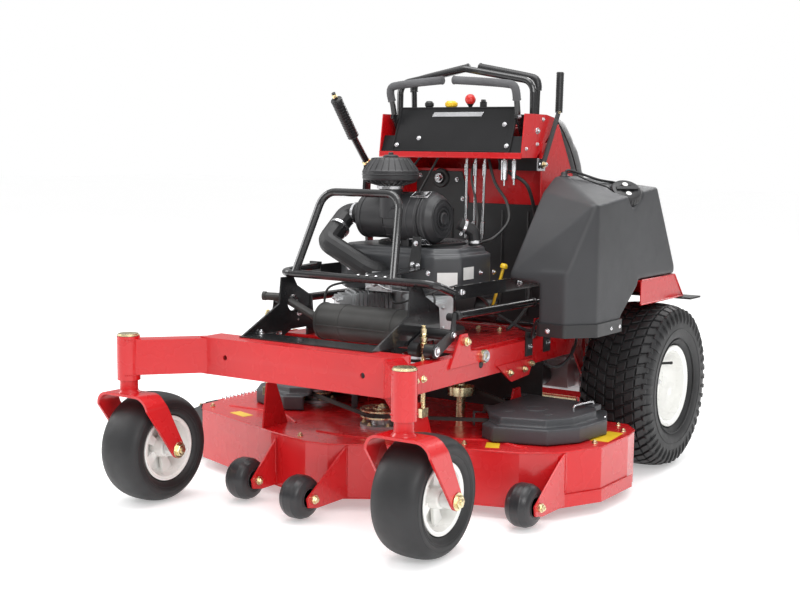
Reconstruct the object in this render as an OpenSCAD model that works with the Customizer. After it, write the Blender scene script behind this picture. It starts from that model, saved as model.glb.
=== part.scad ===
// Stand-on zero-turn mower. Front of the machine faces -Y, its left side is +X, Z is up.
// Parts are drawn about the machine's centre plane (X = 0) with the caster pivots at Y = 0
// and the ground at Z = 0; place() then moves the whole to the middle of its footprint.

/* [Wheels] */
// Distance of each caster pivot from the centre plane
caster_x = 491; // [480:1:500]
// Distance of the caster axle behind its pivot
caster_trail = 97; // [90:1:100]
// Outer radius of the caster tyre
caster_r = 165; // [160:1:167]
// Width of the caster tyre
caster_w = 148; // [140:1:150]
// Distance of each drive wheel's middle from the centre plane
drive_x = 525; // [520:1:530]
// Distance of the drive axle behind the caster pivots
drive_y = 1412; // [1405:1:1425]
// Outer radius of the drive tyre
drive_r = 278; // [270:1:280]
// Width of the drive tyre
drive_w = 254; // [240:2:256]

/* [Frame] */
// Distance of each side rail's middle from the centre plane
rail_x = 330; // [328:1:332]
// Height of the bottom of the side rails
rail_z = 390; // [385:1:395]
// Height of the front beam's top
beam_top = 505; // [500:1:510]
// Outer radius of the caster pivot tube
pivot_tube_r = 34; // [32:0.5:36]

/* [Deck] */
// Height of the deck's top plate above the ground
deck_top = 200; // [195:1:204]
// Height of the bottom of the deck's skirt
deck_low = 35; // [32:1:40]
// Distance of the outer blade spindles from the centre plane
spindle_x = 430; // [425:1:432]
// Distance of the outer blade spindles behind the caster pivots
spindle_y = 810; // [805:1:815]
// Length of each blade
blade_len = 456; // [440:1:458]

/* [Engine] */
// Distance of the engine's crankshaft behind the caster pivots
crank_y = 800; // [795:1:805]
// Radius of the muffler
muffler_r = 56; // [50:1:57]
// Radius of the air cleaner's canister
cleaner_r = 80; // [76:1:81]

/* [Hidden] */
$fn = 96;

red = "firebrick";
black = [0.06, 0.06, 0.06];
charcoal = [0.2, 0.2, 0.21];
white = "whitesmoke";
zinc = [0.78, 0.68, 0.36];
cast = "silver";

// overall footprint, which sets the origin
deck_half_w = 694;
deflector_out = 970;
platform_end = 1825;
mid_x = (deck_half_w - deflector_out) / 2;
mid_y = (platform_end + caster_trail - caster_r) / 2;
plate = 6;
// the platform's hinge, along Y and Z
hinge = [1530, 168];

// caster
tube_low = 382;
tube_high = 512;
stem_r = 16;
fork_top = 343;
fork_half = 104;
fork_plate = 8;
caster_rim_r = 92;
axle_r = 9.5;
run = 0.05;
caster_half_hub = 58;

// drive wheel
drive_rim_r = 127;
drive_rim_half = 100;

// frame
rail_w = 40;
rail_h = 80;
rail_front = 170;
rail_back = 1540;
beam_half = 345;
beam_front = 150;
beam_depth = 90;
beam_low = 395;
engine_plate_z = 470;
motor_plate_x = 352;

// deck lift
rod_x = 278;
rod_y = 387;
boss_z = 494;
bell = [475, 532];
link_z = 583;
link_x = 318;
lever_pivot = [1030, 500];
lever_x = -352;

// deck
centre_spindle_y = 600;
pulley_z = 245;
pulley_r = 58;
belt_half_w = 6;
belt_half_h = 5;
engine_belt_z = 315;
clutch_r = 75;
roller_r = 63;
roller_z = 70;
spindles = [[spindle_x, spindle_y], [0, centre_spindle_y], [-spindle_x, spindle_y]];
deck_outline = [[690, 930], [690, 745], [620, 600], [530, 535], [385, 490], [130, 375],
    [15, 300], [-60, 290], [-230, 335], [-640, 470], [-690, 530], [-690, 1010],
    [-630, 1080], [620, 1080], [670, 1020]];
deck_wall = 4;
chute_front = 560;
chute_back = 930;
hinge_z = 186;

// console and handles
console_half = 278;
handle_pivot = [1062, 1085];
handle_x = 241;
grip_r = 13;
panel_top = 1200;

// engine
cleaner_y = 700;
cleaner_z = 853;
muffler_x = 35;
muffler_y = 490;
muffler_z = 534;
shroud_top = 764;

function unit(v) = v / norm(v);
function mix(a, b, t) = a + (b - a) * t;
// any direction square to v
function square_to(v) = unit(cross(v, abs(v.z) < 0.9 * norm(v) ? [0, 0, 1] : [1, 0, 0]));

module place() translate([-mid_x, -mid_y, 0]) children();
module both() {
    children();
    mirror([1, 0, 0]) children();
}
// moves local axes to o with local Z along w and local X along u
module axes(o, u, w) {
    v = cross(w, u);
    multmatrix([[u.x, v.x, w.x, o.x], [u.y, v.y, w.y, o.y], [u.z, v.z, w.z, o.z], [0, 0, 0, 1]])
        children();
}
module bar(a, b, r) axes(a, square_to(b - a), unit(b - a)) cylinder(h = norm(b - a), r = r);
module xcyl(x0, x1, y, z, r) translate([x0, y, z]) rotate([0, 90, 0]) cylinder(h = x1 - x0, r = r);
module ycyl(y0, y1, x, z, r) translate([x, y1, z]) rotate([90, 0, 0]) cylinder(h = y1 - y0, r = r);
module zcyl(z0, z1, x, y, r) translate([x, y, z0]) cylinder(h = z1 - z0, r = r);
module box(a, b) translate(a) cube(b - a);
// a plate between x0 and x1 whose outline is given as [y, z] points
module side_plate(x0, x1, outline)
    translate([x0, 0, 0]) rotate([90, 0, 90]) linear_extrude(x1 - x0) polygon(outline);
// a round bar swept through the points, with each corner rounded to the bend radius
module bent_bar(points, r, bend, sides = 14) {
    path = smooth_path(points, bend, 6);
    n = len(path);
    dirs = [for (i = [0 : n - 1]) unit(path[min(i + 1, n - 1)] - path[max(i - 1, 0)])];
    ups = [for (i = 0, u = square_to(dirs[0]); i < n; i = i + 1, u = level(u, dirs[min(i, n - 1)])) u];
    rings = [for (i = [0 : n - 1]) let (u = ups[i], v = cross(dirs[i], u)) for (k = [0 : sides - 1])
        path[i] + r * (u * cos(360 * k / sides) + v * sin(360 * k / sides))];
    polyhedron(rings, concat([[for (k = [0 : sides - 1]) k]],
        [for (i = [0 : n - 2]) for (k = [0 : sides - 1]) let (q = (k + 1) % sides)
            [i * sides + k, (i + 1) * sides + k, (i + 1) * sides + q, i * sides + q]],
        [[for (k = [0 : sides - 1]) n * sides - 1 - k]]));
}
// u made square to the direction d
function level(u, d) = unit(u - d * (u * d));
function smooth_path(p, bend, n) = concat([p[0]],
    [for (i = [1 : len(p) - 2]) each corner(p[i - 1], p[i], p[i + 1], bend, n)], [p[len(p) - 1]]);
function corner(a, b, c, bend, n) = let (d0 = unit(b - a), d1 = unit(c - b), t = acos(d0 * d1),
    inward = unit(d1 - d0 * (d0 * d1)), start = b - d0 * bend * tan(t / 2))
    [for (k = [0 : n]) start + d0 * bend * sin(t * k / n) + inward * bend * (1 - cos(t * k / n))];
// turns a wheel's profile, drawn as [radius, offset along the axle], about the X axis
module wheel(x, y, z, profile)
    translate([x, y, z]) rotate([0, 90, 0]) rotate_extrude($fn = 128) polygon(profile);

// ---------------------------------------------------------------- frame
module caster_arm() {
    reach = norm([caster_x - beam_half + 30, 200]);
    turn = atan2(200, -(caster_x - beam_half + 30));
    translate([caster_x, 0, 398]) rotate(turn) translate([0, -28, 0]) cube([reach, 56, 104]);
    zcyl(tube_low, tube_high, caster_x, 0, pivot_tube_r);
}
module side_rail() difference() {
    box([rail_x - rail_w / 2, rail_front, rail_z], [rail_x + rail_w / 2, rail_back, rail_z + rail_h]);
    box([rail_x - rail_w / 2 + 4, 260, rail_z + 4],
        [rail_x + rail_w / 2 - 4, rail_back + 1, rail_z + rail_h - 4]);
}
module main_frame() color(red) difference() {
    union() {
        both() {
            caster_arm();
            side_rail();
            // plates that carry the drive units
            side_plate(motor_plate_x - 2, motor_plate_x + plate - 2,
                [[1290, rail_z + 70], [1300, 210], [1350, 180], [1480, 180], [1530, 240],
                    [1530, rail_z + 70]]);
            // gusset on the rail beside the engine, and the lower one ahead of the tank
            side_plate(rail_x + 20, rail_x + 26,
                [[430, 440], [640, 440], [640, 472], [545, 480], [525, 534], [490, 534], [455, 480]]);
            side_plate(rail_x + 20, rail_x + 26, [[700, 412], [930, 412], [900, 360], [790, 352]]);
            // ears that hold the lift lever's shaft
            side_plate(rail_x - 18, rail_x - 12,
                [[995, rail_z + 70], [1065, rail_z + 70], [1055, 525], [1005, 525]]);
            // ears for the platform's hinge pin
            side_plate(223, 229, [[1500, 180], [1500, 260], [1516, 240], [1518, 184],
                [1542, 184], [1545, 168], [1544, 155], [1520, 152]]);
        }
        // front beam, a channel open at the back
        difference() {
            box([-beam_half, beam_front, beam_low], [beam_half, beam_front + beam_depth, beam_top]);
            box([-beam_half + plate, beam_front + plate, beam_low + plate],
                [beam_half - plate, beam_front + beam_depth + 1, beam_top - plate]);
        }
        box([-rail_x, 520, engine_plate_z], [rail_x, 1080, engine_plate_z + 8]);
        box([-rail_x, 1230, rail_z + 20], [rail_x, 1280, rail_z + 60]);
        box([-rail_x, 1500, 180], [rail_x, 1506, rail_z + 60]);
        both() side_plate(rail_x - 20, rail_x - 14,
            [[1280, rail_z], [1500, rail_z], [1500, 180], [1440, 180]]);
    }
    both() {
        zcyl(tube_low - 1, tube_high + 1, caster_x, 0, stem_r + run);
        // hole for the drive axle housing
        xcyl(motor_plate_x - 6, motor_plate_x + 10, drive_y, drive_r, 46);
        xcyl(rail_x - 30, rail_x - 10, drive_y, drive_r, 60);
        // tie-down hole in the front beam
        ycyl(beam_front - 1, beam_front + plate + 1, 250, 450, 8);
        xcyl(rail_x - 20, rail_x - 10, lever_pivot.x, lever_pivot.y, 8 + run);
        xcyl(220, 232, hinge.x, hinge.y, 8 + run);
        // bolt holes in the gusset
        xcyl(rail_x + 10, rail_x + 30, 508, 512, 6.5);
    }
    zcyl(engine_plate_z - 1, engine_plate_z + 9, 0, crank_y, 62);
    // hitch hole in the rear cross plate
    ycyl(1499, 1507, 0, 300, 10);
}
tower_front = [[1150, 470], [1092, 700], [1085, 1040]];
tower_rear = [[1196, 1150], [1378, 870], [1470, 640], [1500, 470]];
module rear_tower() color(red) {
    both() difference() {
        side_plate(281, 285, concat(tower_front, tower_rear));
        xcyl(270, 300, 1180, 780, 50);
    }
    // sloping plate at the operator's hips and the inner plate below the console
    hip_panel();
    box([-281, 1160, 480], [281, 1164, 1000]);
    box([-281, 1160, 482], [281, 1494, 488]);
}
module hip_panel() side_plate(-281, 281, [[1196, 1150], [1378, 870], [1470, 640], [1500, 470],
    [1496, 470], [1466, 639], [1374.5, 868.5], [1193, 1147.5]]);
fender_front = 1196;
module fender() {
    // top skin and outer skirt above the tyre
    box([368, fender_front, 648], [600, 1468, 652]);
    side_plate(596, 600, [[fender_front, 572], [1545, 572], [1468, 652], [fender_front, 652]]);
    side_plate(370, 598, [[1541, 572], [1545, 572], [1468, 652], [1464, 652]]);
    box([285, 1200, 600], [372, 1440, 604]);
    box([368, fender_front, 600], [372, 1466, 650]);
}
module fenders() color(red) both() fender();
module mud_flaps() color(black) both() box([400, 1500, 566], [648, 1590, 572]);

// ---------------------------------------------------------------- engine guard
guard_y = 420;
guard_z = 682;
guard_r = 12;
module engine_guard() color(black) {
    bent_bar([[-262, 599, 690], [-262, guard_y, guard_z], [304, guard_y, guard_z], [304, 520, 650]],
        guard_r, 38);
    bent_bar([[-206, guard_y + 2, guard_z + 4], [-158, 505, 932], [126, 505, 932],
        [161, guard_y + 2, guard_z + 4]], guard_r, 52);
}
module guard_brackets() color(black) {
    difference() {
        union() {
            for (x = [-242, 236]) side_plate(x, x + 6, [[205, 505], [520, 505], [520, 478], [560, 478],
                [545, 600], [470, 640], [450, 670], [395, 670], [385, 590]]);
            box([-242, 205, 505], [242, 300, 509]);
        }
        // the tail pipe passes through the right plate
        xcyl(-246, -232, 448, 587, 25);
    }
    // pins that the lift bellcranks turn on
    both() xcyl(242, 340, bell.x, bell.y, 10);
    // arms from the guard back to the tower
    box([306, 524, 628], [312, 1130, 668]);
    box([285, 1124, 628], [312, 1130, 668]);
    box([-291, 600, 650], [-285, 1130, 690]);
    box([-291, 600, 650], [-246, 606, 704]);
}
module muffler() color(charcoal) {
    translate([muffler_x, muffler_y, muffler_z]) rotate([0, 90, 0]) rotate_extrude()
        polygon([[0, -190], [muffler_r - 12, -190], [muffler_r - 4, -186], [muffler_r, -176],
            [muffler_r, 176], [muffler_r - 4, 186], [muffler_r - 12, 190], [0, 190]]);
    bent_bar([[-141, 516, 514], [-262, 432, 604], [-318, 404, 606]], 12.5, 60);
    // inlet pipes from the cylinder heads
    for (s = [-1, 1]) bar([s * 138, muffler_y + 30, muffler_z + 10], [s * 156, 573, 556], 14);
}

// ---------------------------------------------------------------- engine
module cylinder_head(s) translate([0, crank_y, 0]) rotate(-90 + s * 42) {
    box([90, -58, 500], [232, 58, 612]);
    for (i = [0 : 5]) box([120 + i * 17, -68, 494], [125 + i * 17, 68, 618]);
    box([232, -50, 508], [258, 50, 604]);
}
module engine_block() color(cast) {
    difference() {
        union() {
            zcyl(479, 622, 0, crank_y, 118);
            zcyl(479, 492, 0, crank_y, 150);
            for (s = [-1, 1]) cylinder_head(s);
        }
        zcyl(470, 630, 0, crank_y, 17.55);
    }
}
module engine_shroud() color(charcoal) difference() {
    union() {
        // rounded cover over the flywheel and cylinders
        translate([0, 0, 624]) linear_extrude(shroud_top - 644) shroud_outline(0);
        translate([0, 0, shroud_top - 20]) linear_extrude(20) shroud_outline(14);
    }
    translate([0, 0, 620]) linear_extrude(shroud_top - 650) shroud_outline(20);
}
module shroud_outline(inset) {
    w = 230 - inset;
    f = 625 + inset;
    b = 985 - inset;
    c = 62;
    polygon([[-w + c, f], [w - c, f], [w, f + c], [w, b - c - 60], [w - c - 40, b], [-w + c + 40, b],
        [-w, b - c - 60], [-w, f + c]]);
}
module air_cleaner() color(charcoal) {
    translate([0, cleaner_y, cleaner_z]) rotate([0, 90, 0]) rotate_extrude()
        polygon([[0, -140], [60, -140], [68, -132], [68, -24], [cleaner_r - 3, -20], [cleaner_r - 3, 30],
            [cleaner_r, 34], [cleaner_r, 92], [cleaner_r - 4, 96], [cleaner_r - 4, 104], [cleaner_r, 108],
            [cleaner_r, 118], [cleaner_r - 5, 122], [cleaner_r - 5, 132], [cleaner_r - 18, 150],
            [40, 154], [40, 150], [0, 150]]);
    zcyl(cleaner_z, 940, -14, 655, 34);
    // strap and foot
    box([20, 660, shroud_top], [60, 740, cleaner_z]);
}
module precleaner() color(charcoal) translate([-14, 655, 940]) rotate_extrude()
    polygon([[0, 0], [38, 0], [38, 18], [58, 20], [86, 30], [88, 34], [88, 58], [84, 62],
        [62, 92], [52, 98], [0, 100]]);
module intake_hoses() color(charcoal) {
    bent_bar([[-141, 700, 858], [-212, 700, 858], [-212, 588, 770], [-20, 582, 684],
        [-20, 612, 684]], 33, 28);
    bent_bar([[174, 760, 838], [208, 792, 812], [208, 800, 771]], 20, 18);
}
module crank_pulley() color(cast) {
    // crankshaft, flywheel with fan, drive pulley for the traction belt and blade clutch
    zcyl(286, 700, 0, crank_y, 17.5);
    zcyl(640, 655, 0, crank_y, 150);
    for (a = [0 : 30 : 330]) translate([0, crank_y, 655]) rotate(a) box([60, -2, 0], [145, 2, 40]);
    zcyl(372, 384, 0, crank_y, 52);
    zcyl(394, 406, 0, crank_y, 52);
    zcyl(384, 394, 0, crank_y, 40);
    zcyl(326, 366, 0, crank_y, clutch_r);
    zcyl(366, 372, 0, crank_y, 30);
    zcyl(300, 306, 0, crank_y, clutch_r);
    zcyl(306, 326, 0, crank_y, clutch_r - 14);
}

// ---------------------------------------------------------------- traction drive and battery
pump = [150, 1340];
module drive_unit() {
    difference() {
        union() {
            box([90, 1300, 250], [288, 1460, 345]);
            xcyl(120, 304, drive_y, drive_r, 58);
            xcyl(304, 344, drive_y, drive_r, 45);
            xcyl(344, 350, drive_y, drive_r, 62);
            zcyl(345, 384, pump.x, pump.y, 14);
            zcyl(374, 380, pump.x, pump.y, 62);
            zcyl(392, 398, pump.x, pump.y, 62);
            zcyl(380, 392, pump.x, pump.y, 48);
        }
        xcyl(330, 351, drive_y, drive_r, 25.05);
    }
}
module drive_units() color(cast) both() drive_unit();
module traction_belt() color(black) difference() {
    translate([0, 0, 384.5]) linear_extrude(7) traction_loop(7);
    translate([0, 0, 380]) linear_extrude(16) traction_loop(0);
}
module traction_loop(grow) hull() {
    translate([0, crank_y]) circle(40.5 + grow);
    for (s = [-1, 1]) translate([s * pump.x, pump.y]) circle(48.5 + grow);
}
module battery() color(black) {
    box([-90, 1180, 488], [90, 1360, 660]);
    for (x = [-60, 60]) zcyl(660, 676, x, 1220, 9);
}

// ---------------------------------------------------------------- fuel tank
module tank_post(x, y, z0, z1, r) translate([x, y, z0]) cylinder(h = z1 - z0, r = r, $fn = 32);
// middle of the filler cap's foot, and the way the cap faces
cap_at = [555, 1145, 922];
cap_dir = unit([0.42, -0.42, 0.8]);
module along_cap() axes(cap_at, square_to(cap_dir), cap_dir) children();
// the tank's foot, which the tray is shaped to
module tank_foot(z0, z1, grow) {
    tank_post(454, 804, z0, z1, 14 + grow);
    tank_post(528, 804, z0, z1, 14 + grow);
    tank_post(586, 874, z0, z1, 14 + grow);
    tank_post(580, 1036, z0, z1, 20 + grow);
    tank_post(454, 1040, z0, z1, 14 + grow);
}
module fuel_tank() color(charcoal) difference() {
    union() {
        hull() tank_foot(510.5, 560, 0);
        hull() {
            tank_foot(548, 700, 0);
            tank_post(580, 1160, 640, 700, 20);
        }
        // body that overhangs the foot towards the engine
        hull() {
            tank_post(350, 802, 672, 690, 12);
            tank_post(528, 804, 658, 690, 14);
            tank_post(586, 874, 658, 905, 14);
            tank_post(374, 965, 656, 936, 14);
            tank_post(372, 1060, 656, 984, 20);
            tank_post(372, 1120, 656, 984, 20);
            tank_post(572, 1110, 656, 930, 28);
        }
        // rear part above the fender
        hull() {
            tank_post(572, 1110, 656, 930, 28);
            tank_post(372, 1120, 656, 984, 20);
            tank_post(574, 1450, 656, 682, 28);
            tank_post(372, 1400, 656, 700, 20);
            tank_post(568, 1296, 900, 950, 30);
            tank_post(372, 1290, 900, 960, 20);
        }
    }
    along_cap() {
        // hollow filler neck, and the recess around the cap
        translate([0, 0, -70]) cylinder(h = 80, r = 24);
        cylinder(h = 120, r = 60);
    }
}
module fuel_cap() color(black) along_cap() {
    translate([0, 0, 0.5]) cylinder(h = 31.5, r = 48);
    translate([0, 0, -45]) cylinder(h = 46, r = 20);
}
module tank_tray() color(black) {
    difference() {
        hull() tank_foot(504, 544, 6);
        hull() tank_foot(510, 545, 1);
    }
    // brackets to the side rail
    for (y = [880, 1000]) {
        box([350, y, 420], [356, y + 40, 505]);
        box([350, y, 499], [480, y + 40, 505]);
    }
}

// ---------------------------------------------------------------- console
module console_shell() color(red) {
    both() side_plate(console_half - 4, console_half,
        [[962, 1041], [1061, 1041], [1194, 1158], [1190, 1172], [1123, 1182], [982, 1182]]);
    // lower lip under the front panel, and the sloping plate at the back
    box([-console_half + 2, 962, 1041], [console_half - 2, 1061, 1045]);
    side_plate(-console_half + 2, console_half - 2,
        [[1061, 1041], [1058, 1045], [1168, 1142], [1171, 1138]]);
    // foot that joins the console to the tower
    both() box([270, 1092, 1000], [281, 1128, 1090]);
}
module console_panel() color(black) {
    panel_in = 4.5;
    side_plate(-206, 206, [[969, 1060], [973, 1060], [1028, panel_top], [1024, panel_top]]);
    difference() {
        side_plate(-console_half + panel_in, console_half - panel_in,
            [[966, 1050], [970, 1050], [994, 1110], [990, 1110]]);
        box([-206, 900, 1050], [206, 1100, 1200]);
    }
    difference() {
        box([-206, 1012, 1164], [206, 1168, 1168]);
        // holes and slots for the hand controls
        zcyl(1160, 1170, -129, 1045, 9);
        zcyl(1160, 1170, -41, 1045, 11);
        box([25, 1034, 1160], [49, 1112, 1170]);
        zcyl(1160, 1170, 84, 1045, 10);
    }
}
module reference_bar() color(black) {
    bent_bar([[-262, 1062, 1110], [-260, 1062, 1287], [0, 1062, 1332], [260, 1062, 1287],
        [262, 1062, 1110]], 11, 42);
}
module control_lever() color(charcoal) {
    difference() {
        side_plate(handle_x - 5, handle_x + 5, [[984, 1168], [1000, 1150], [1046, 1068], [1078, 1068],
            [1120, 1150], [1136, 1168], [1136, 1180], [984, 1180]]);
        xcyl(handle_x - 20, handle_x + 20, handle_pivot.x, handle_pivot.y, 7);
    }
    bent_bar([[handle_x, 998, 1180], [handle_x + 4, 976, 1262], [24, 958, 1290]], grip_r, 34);
    bent_bar([[handle_x, 1122, 1180], [handle_x + 4, 1122, 1296], [24, 1122, 1340]], grip_r, 34);
}
module knob(x, z, r, stem) {
    zcyl(1120, z, x, 1045, stem);
    translate([x, 1045, z]) rotate_extrude()
        polygon([[0, 0], [r * 0.55, 0], [r, 9], [r, 20], [r * 0.7, 26], [0, 27]]);
}
module throttle_knob() color("red") {
    bar([37, 1045, 1080], [37, 1040, 1216], 4);
    xcyl(29, 45, 1045, 1080, 7);
    translate([37, 1039, 1230]) scale(0.9) sphere(20, $fn = 48);
}
module choke_knob() color(black) knob(-129, 1200, 14, 5);
module pto_knob() color("gold") knob(-41, 1200, 20, 7);
module ignition_key() color(black) {
    zcyl(1130, 1190, 84, 1045, 6);
    box([72, 1042.5, 1190], [96, 1047.5, 1222]);
}
module brake_lever() color(charcoal) difference() {
    union() {
        side_plate(293, 299, [[1058, 1016], [1070, 1006], [1082, 1014], [1178, 1180], [1184, 1200],
            [1166, 1200], [1160, 1186]]);
        bar([296, 1175, 1192], [296, 1179, 1318], 11);
    }
    xcyl(280, 310, 1070, 1020, 7);
}
module control_rods() color(zinc) {
    for (r = [[52, 60], [86, 92], [121, 124]]) bar([r.x, 1000, 1038], [r.y, 985, 775], 4.5);
    // pivot pins that the levers turn on, with their brackets
    both() {
        xcyl(206, 274, handle_pivot.x, handle_pivot.y, 6.95);
        side_plate(200, 206, [[1040, 1045.5], [1056, 1045.5], [1076, 1072], [1076, 1096],
            [1050, 1096], [1040, 1080]]);
    }
    // brake lever's pin and its bracket
    xcyl(285, 304, 1070, 1020, 6.95);
    side_plate(286, 290, [[1050, 1000], [1100, 1000], [1100, 1036], [1050, 1040]]);
}
pad_outline = [[1204, 1162], [1262, 1196], [1330, 1170], [1440, 1080], [1505, 985], [1560, 800], [1520, 740],
    [1440, 738]];
module hip_pad() color(black) difference() {
    side_plate(-258, 258, concat(pad_outline, [[1383, 873]]));
    both() side_plate(232, 259, [[1262, 1250], [1262, 1170], [1330, 1140], [1420, 1060],
        [1480, 975], [1528, 806], [1500, 700], [1640, 700], [1640, 1250]]);
}

// ---------------------------------------------------------------- casters
module caster_fork() color(red) {
    difference() {
        union() {
            intersection() {
                // bent plate seen from the front
                translate([caster_x, 200, 0]) rotate([90, 0, 0]) linear_extrude(400) difference() {
                    fork_arch(fork_half, fork_top, 46);
                    fork_arch(fork_half - fork_plate, fork_top - fork_plate, 38);
                }
                // its outline seen from the side
                translate([caster_x - 200, 0, 0]) rotate([90, 0, 90]) linear_extrude(400) union() {
                    polygon([[-38, fork_top + 5], [40, fork_top + 5], [44, 320], [caster_trail + 22, 176],
                        [caster_trail - 22, 152], [-30, 300]]);
                    translate([caster_trail, caster_r]) circle(25);
                }
            }
            zcyl(fork_top - 1, 381.5, caster_x, 0, 26);
            zcyl(381.5, 506, caster_x, 0, stem_r);
        }
        xcyl(caster_x - 120, caster_x + 120, caster_trail, caster_r, axle_r + run);
    }
    caster_axle();
}
module fork_arch(w, h, r) {
    translate([-w, 100]) square([2 * w, h - 100 - r]);
    translate([-w + r, h - r - 1]) square([2 * (w - r), r + 1]);
    for (s = [-1, 1]) translate([s * (w - r), h - r]) circle(r);
}
module caster_axle() {
    end = fork_half + 0.5;
    xcyl(caster_x - end, caster_x + end, caster_trail, caster_r, axle_r);
    for (s = [-1, 1]) {
        translate([caster_x + s * (end + 5), caster_trail, caster_r]) rotate([0, 90, 0])
            cylinder(h = 10, r = 15, $fn = 6, center = true);
        // spacer between the hub and the fork
        xcyl(caster_x + (s > 0 ? caster_half_hub + 1 : -fork_half + fork_plate + 0.5),
            caster_x + (s > 0 ? fork_half - fork_plate - 0.5 : -caster_half_hub - 1),
            caster_trail, caster_r, 17);
    }
}
module caster_rim() color(white) wheel(caster_x, caster_trail, caster_r,
    [[axle_r + run, -58], [25, -58], [25, -8], [78, -18], [86, -60], [97, -62], [97, -56], [91.7, -52],
        [91.7, 52], [97, 56], [97, 62], [86, 60], [78, 22], [70, 8], [25, 6], [25, 58], [axle_r + run, 58]]);
// half of a tyre's sidewall and bead as [radius, offset], from the tread inwards
function tyre_side(r_in, r_out, half, bead, lip) =
    [[mix(r_in, r_out, 0.28), half - 2], [r_in + lip, half - 10], [r_in + lip, bead], [r_in, bead]];
function tyre_profile(r_in, r_out, half, bead, lip, n) = let (m = (r_in + r_out) / 2,
    h = (r_out - r_in) / 2, side = tyre_side(r_in, r_out, half, bead, lip)) concat(
    [for (i = [0 : n]) let (t = -90 + 180 * i / n)
        [m + h * pow(abs(cos(t)), 0.7), half * sign(t) * pow(abs(sin(t)), 0.7)]],
    side, [for (i = [3 : -1 : 0]) [side[i].x, -side[i].y]]);
module caster_tyre() color(black) wheel(caster_x, caster_trail, caster_r,
    tyre_profile(caster_rim_r, caster_r, caster_w / 2, 51, 6, 20));

// ---------------------------------------------------------------- drive wheels
module drive_rim() color(white) difference() {
    union() {
        wheel(drive_x, drive_y, drive_r,
            [[0, -10], [60, -10], [70, 26], [112, 18], [118, -96], [136, -98], [136, -92], [126.7, -88],
                [126.7, 88], [136, 92], [136, 98], [120, 96], [116, 30], [72, 34], [66, 4], [0, 4]]);
        // hub and axle stub that runs in the drive unit
        xcyl(drive_x - 127, drive_x - 6, drive_y, drive_r, 48);
        xcyl(drive_x - 190, drive_x - 127, drive_y, drive_r, 25);
        xcyl(drive_x + 4, drive_x + 24, drive_y, drive_r, 24);
    }
    for (a = [0 : 72 : 288]) translate([drive_x, drive_y, drive_r]) rotate([a, 0, 0])
        translate([-200, 0, 36]) rotate([0, 90, 0]) cylinder(h = 240, r = 4);
}
module drive_tyre() color(black) wheel(drive_x, drive_y, drive_r,
    tyre_profile(drive_rim_r, drive_r, drive_w / 2, 87, 10, 24));

// ---------------------------------------------------------------- deck
module inset_outline(d) offset(delta = -d) polygon(deck_outline);
module roller_bracket(x, y, wall_y) {
    side_plate(x - 3, x + 3, [[wall_y + 14, deck_top - 4], [wall_y, deck_top - 4], [y - 26, roller_z + 6],
        [y - 20, roller_z - 22], [y + 20, roller_z - 30], [wall_y + 14, roller_z - 30]]);
}
module deck_shell() color(red) {
    difference() {
        union() {
            translate([0, 0, deck_low]) linear_extrude(deck_top - deck_low) polygon(deck_outline);
            // hangers for the height rods
            both() {
                side_plate(rod_x - 3, rod_x + 3,
                    [[350, deck_top - 2], [470, deck_top - 2], [412, 340], [370, 340]]);
                side_plate(rod_x - 3, rod_x + 3,
                    [[905, deck_top - 2], [1005, deck_top - 2], [980, 300], [940, 300]]);
            }
            for (r = rollers) roller_bracket(r[0] + roller_gap, r[1], r[2]);
            // knuckle and pin of the discharge deflector
            ycyl(chute_front + 51, chute_back - 61, -703, hinge_z + 6, 8);
            box([-703, chute_front + 51, hinge_z + 4], [-685, chute_back - 61, hinge_z + 12]);
            ycyl(chute_front - 4, chute_back - 6, -703, hinge_z + 6, 4);
        }
        translate([0, 0, deck_low - 1]) linear_extrude(deck_top - deck_low - 4) polygon(deck_inner);
        // side discharge
        box([-700, chute_front, deck_low - 5], [-680, chute_back, hinge_z - 12]);
        for (p = spindles) zcyl(deck_top - 10, deck_top + 1, p.x, p.y, 40.5);
        zcyl(deck_top - 10, deck_top + 1, idler.x, idler.y, 9);
        for (r = rollers) xcyl(r[0] + roller_gap - 5, r[0] + roller_gap + 5, r[1], roller_z, 8);
    }
    // stiffening band round the left end
    translate([0, 0, deck_low]) linear_extrude(38) polygon([[deck_half_w, 960], [deck_half_w, 743],
        [622, 596], [600, 581], [602, 588], [620, 600], [690, 745], [690, 960]]);
}
// the outline moved in by the wall's thickness
deck_inner = [for (i = [0 : len(deck_outline) - 1]) let (n = len(deck_outline), p = deck_outline[i],
    a = unit(p - deck_outline[(i + n - 1) % n]), b = unit(deck_outline[(i + 1) % n] - p),
    na = [a.y, -a.x], nb = [b.y, -b.x], m = unit(na + nb)) p + m * deck_wall / (m * na)];
idler = [150, 824];
// anti-scalp rollers: middle of each along X, along Y, and where the deck's wall is behind it
rollers = [[585, 470, 620], [15, 170, 330], [-252, 240, 340]];
roller_gap = 47;
module spindle_housings() color(cast) for (p = spindles) difference() {
    union() {
        zcyl(deck_top, deck_top + 10, p.x, p.y, 70);
        zcyl(deck_top + 10, pulley_z - 14, p.x, p.y, 34);
        zcyl(110, deck_top, p.x, p.y, 40);
    }
    zcyl(100, 260, p.x, p.y, 13.05);
}
module spindle(p) color(cast) {
    zcyl(40, 262, p.x, p.y, 13);
    translate([p.x, p.y, pulley_z]) rotate_extrude()
        polygon([[0, -12], [68, -12], [70, -7], [57, -6.5], [57, 6.5], [70, 7], [68, 12], [0, 12]]);
    // blade with cutting edges, bolted under the shaft
    zcyl(55, 100, p.x, p.y, 24);
    translate([p.x, p.y, 49]) difference() {
        box([-blade_len / 2, -32, 0], [blade_len / 2, 32, 6]);
        for (a = [0, 180]) rotate(a) translate([blade_len / 2 - 110, -38, 3]) rotate([28, 0, 0])
            cube([120, 14, 14]);
    }
    translate([p.x, p.y, 37]) cylinder(h = 12, r = 17, $fn = 6);
}
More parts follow.
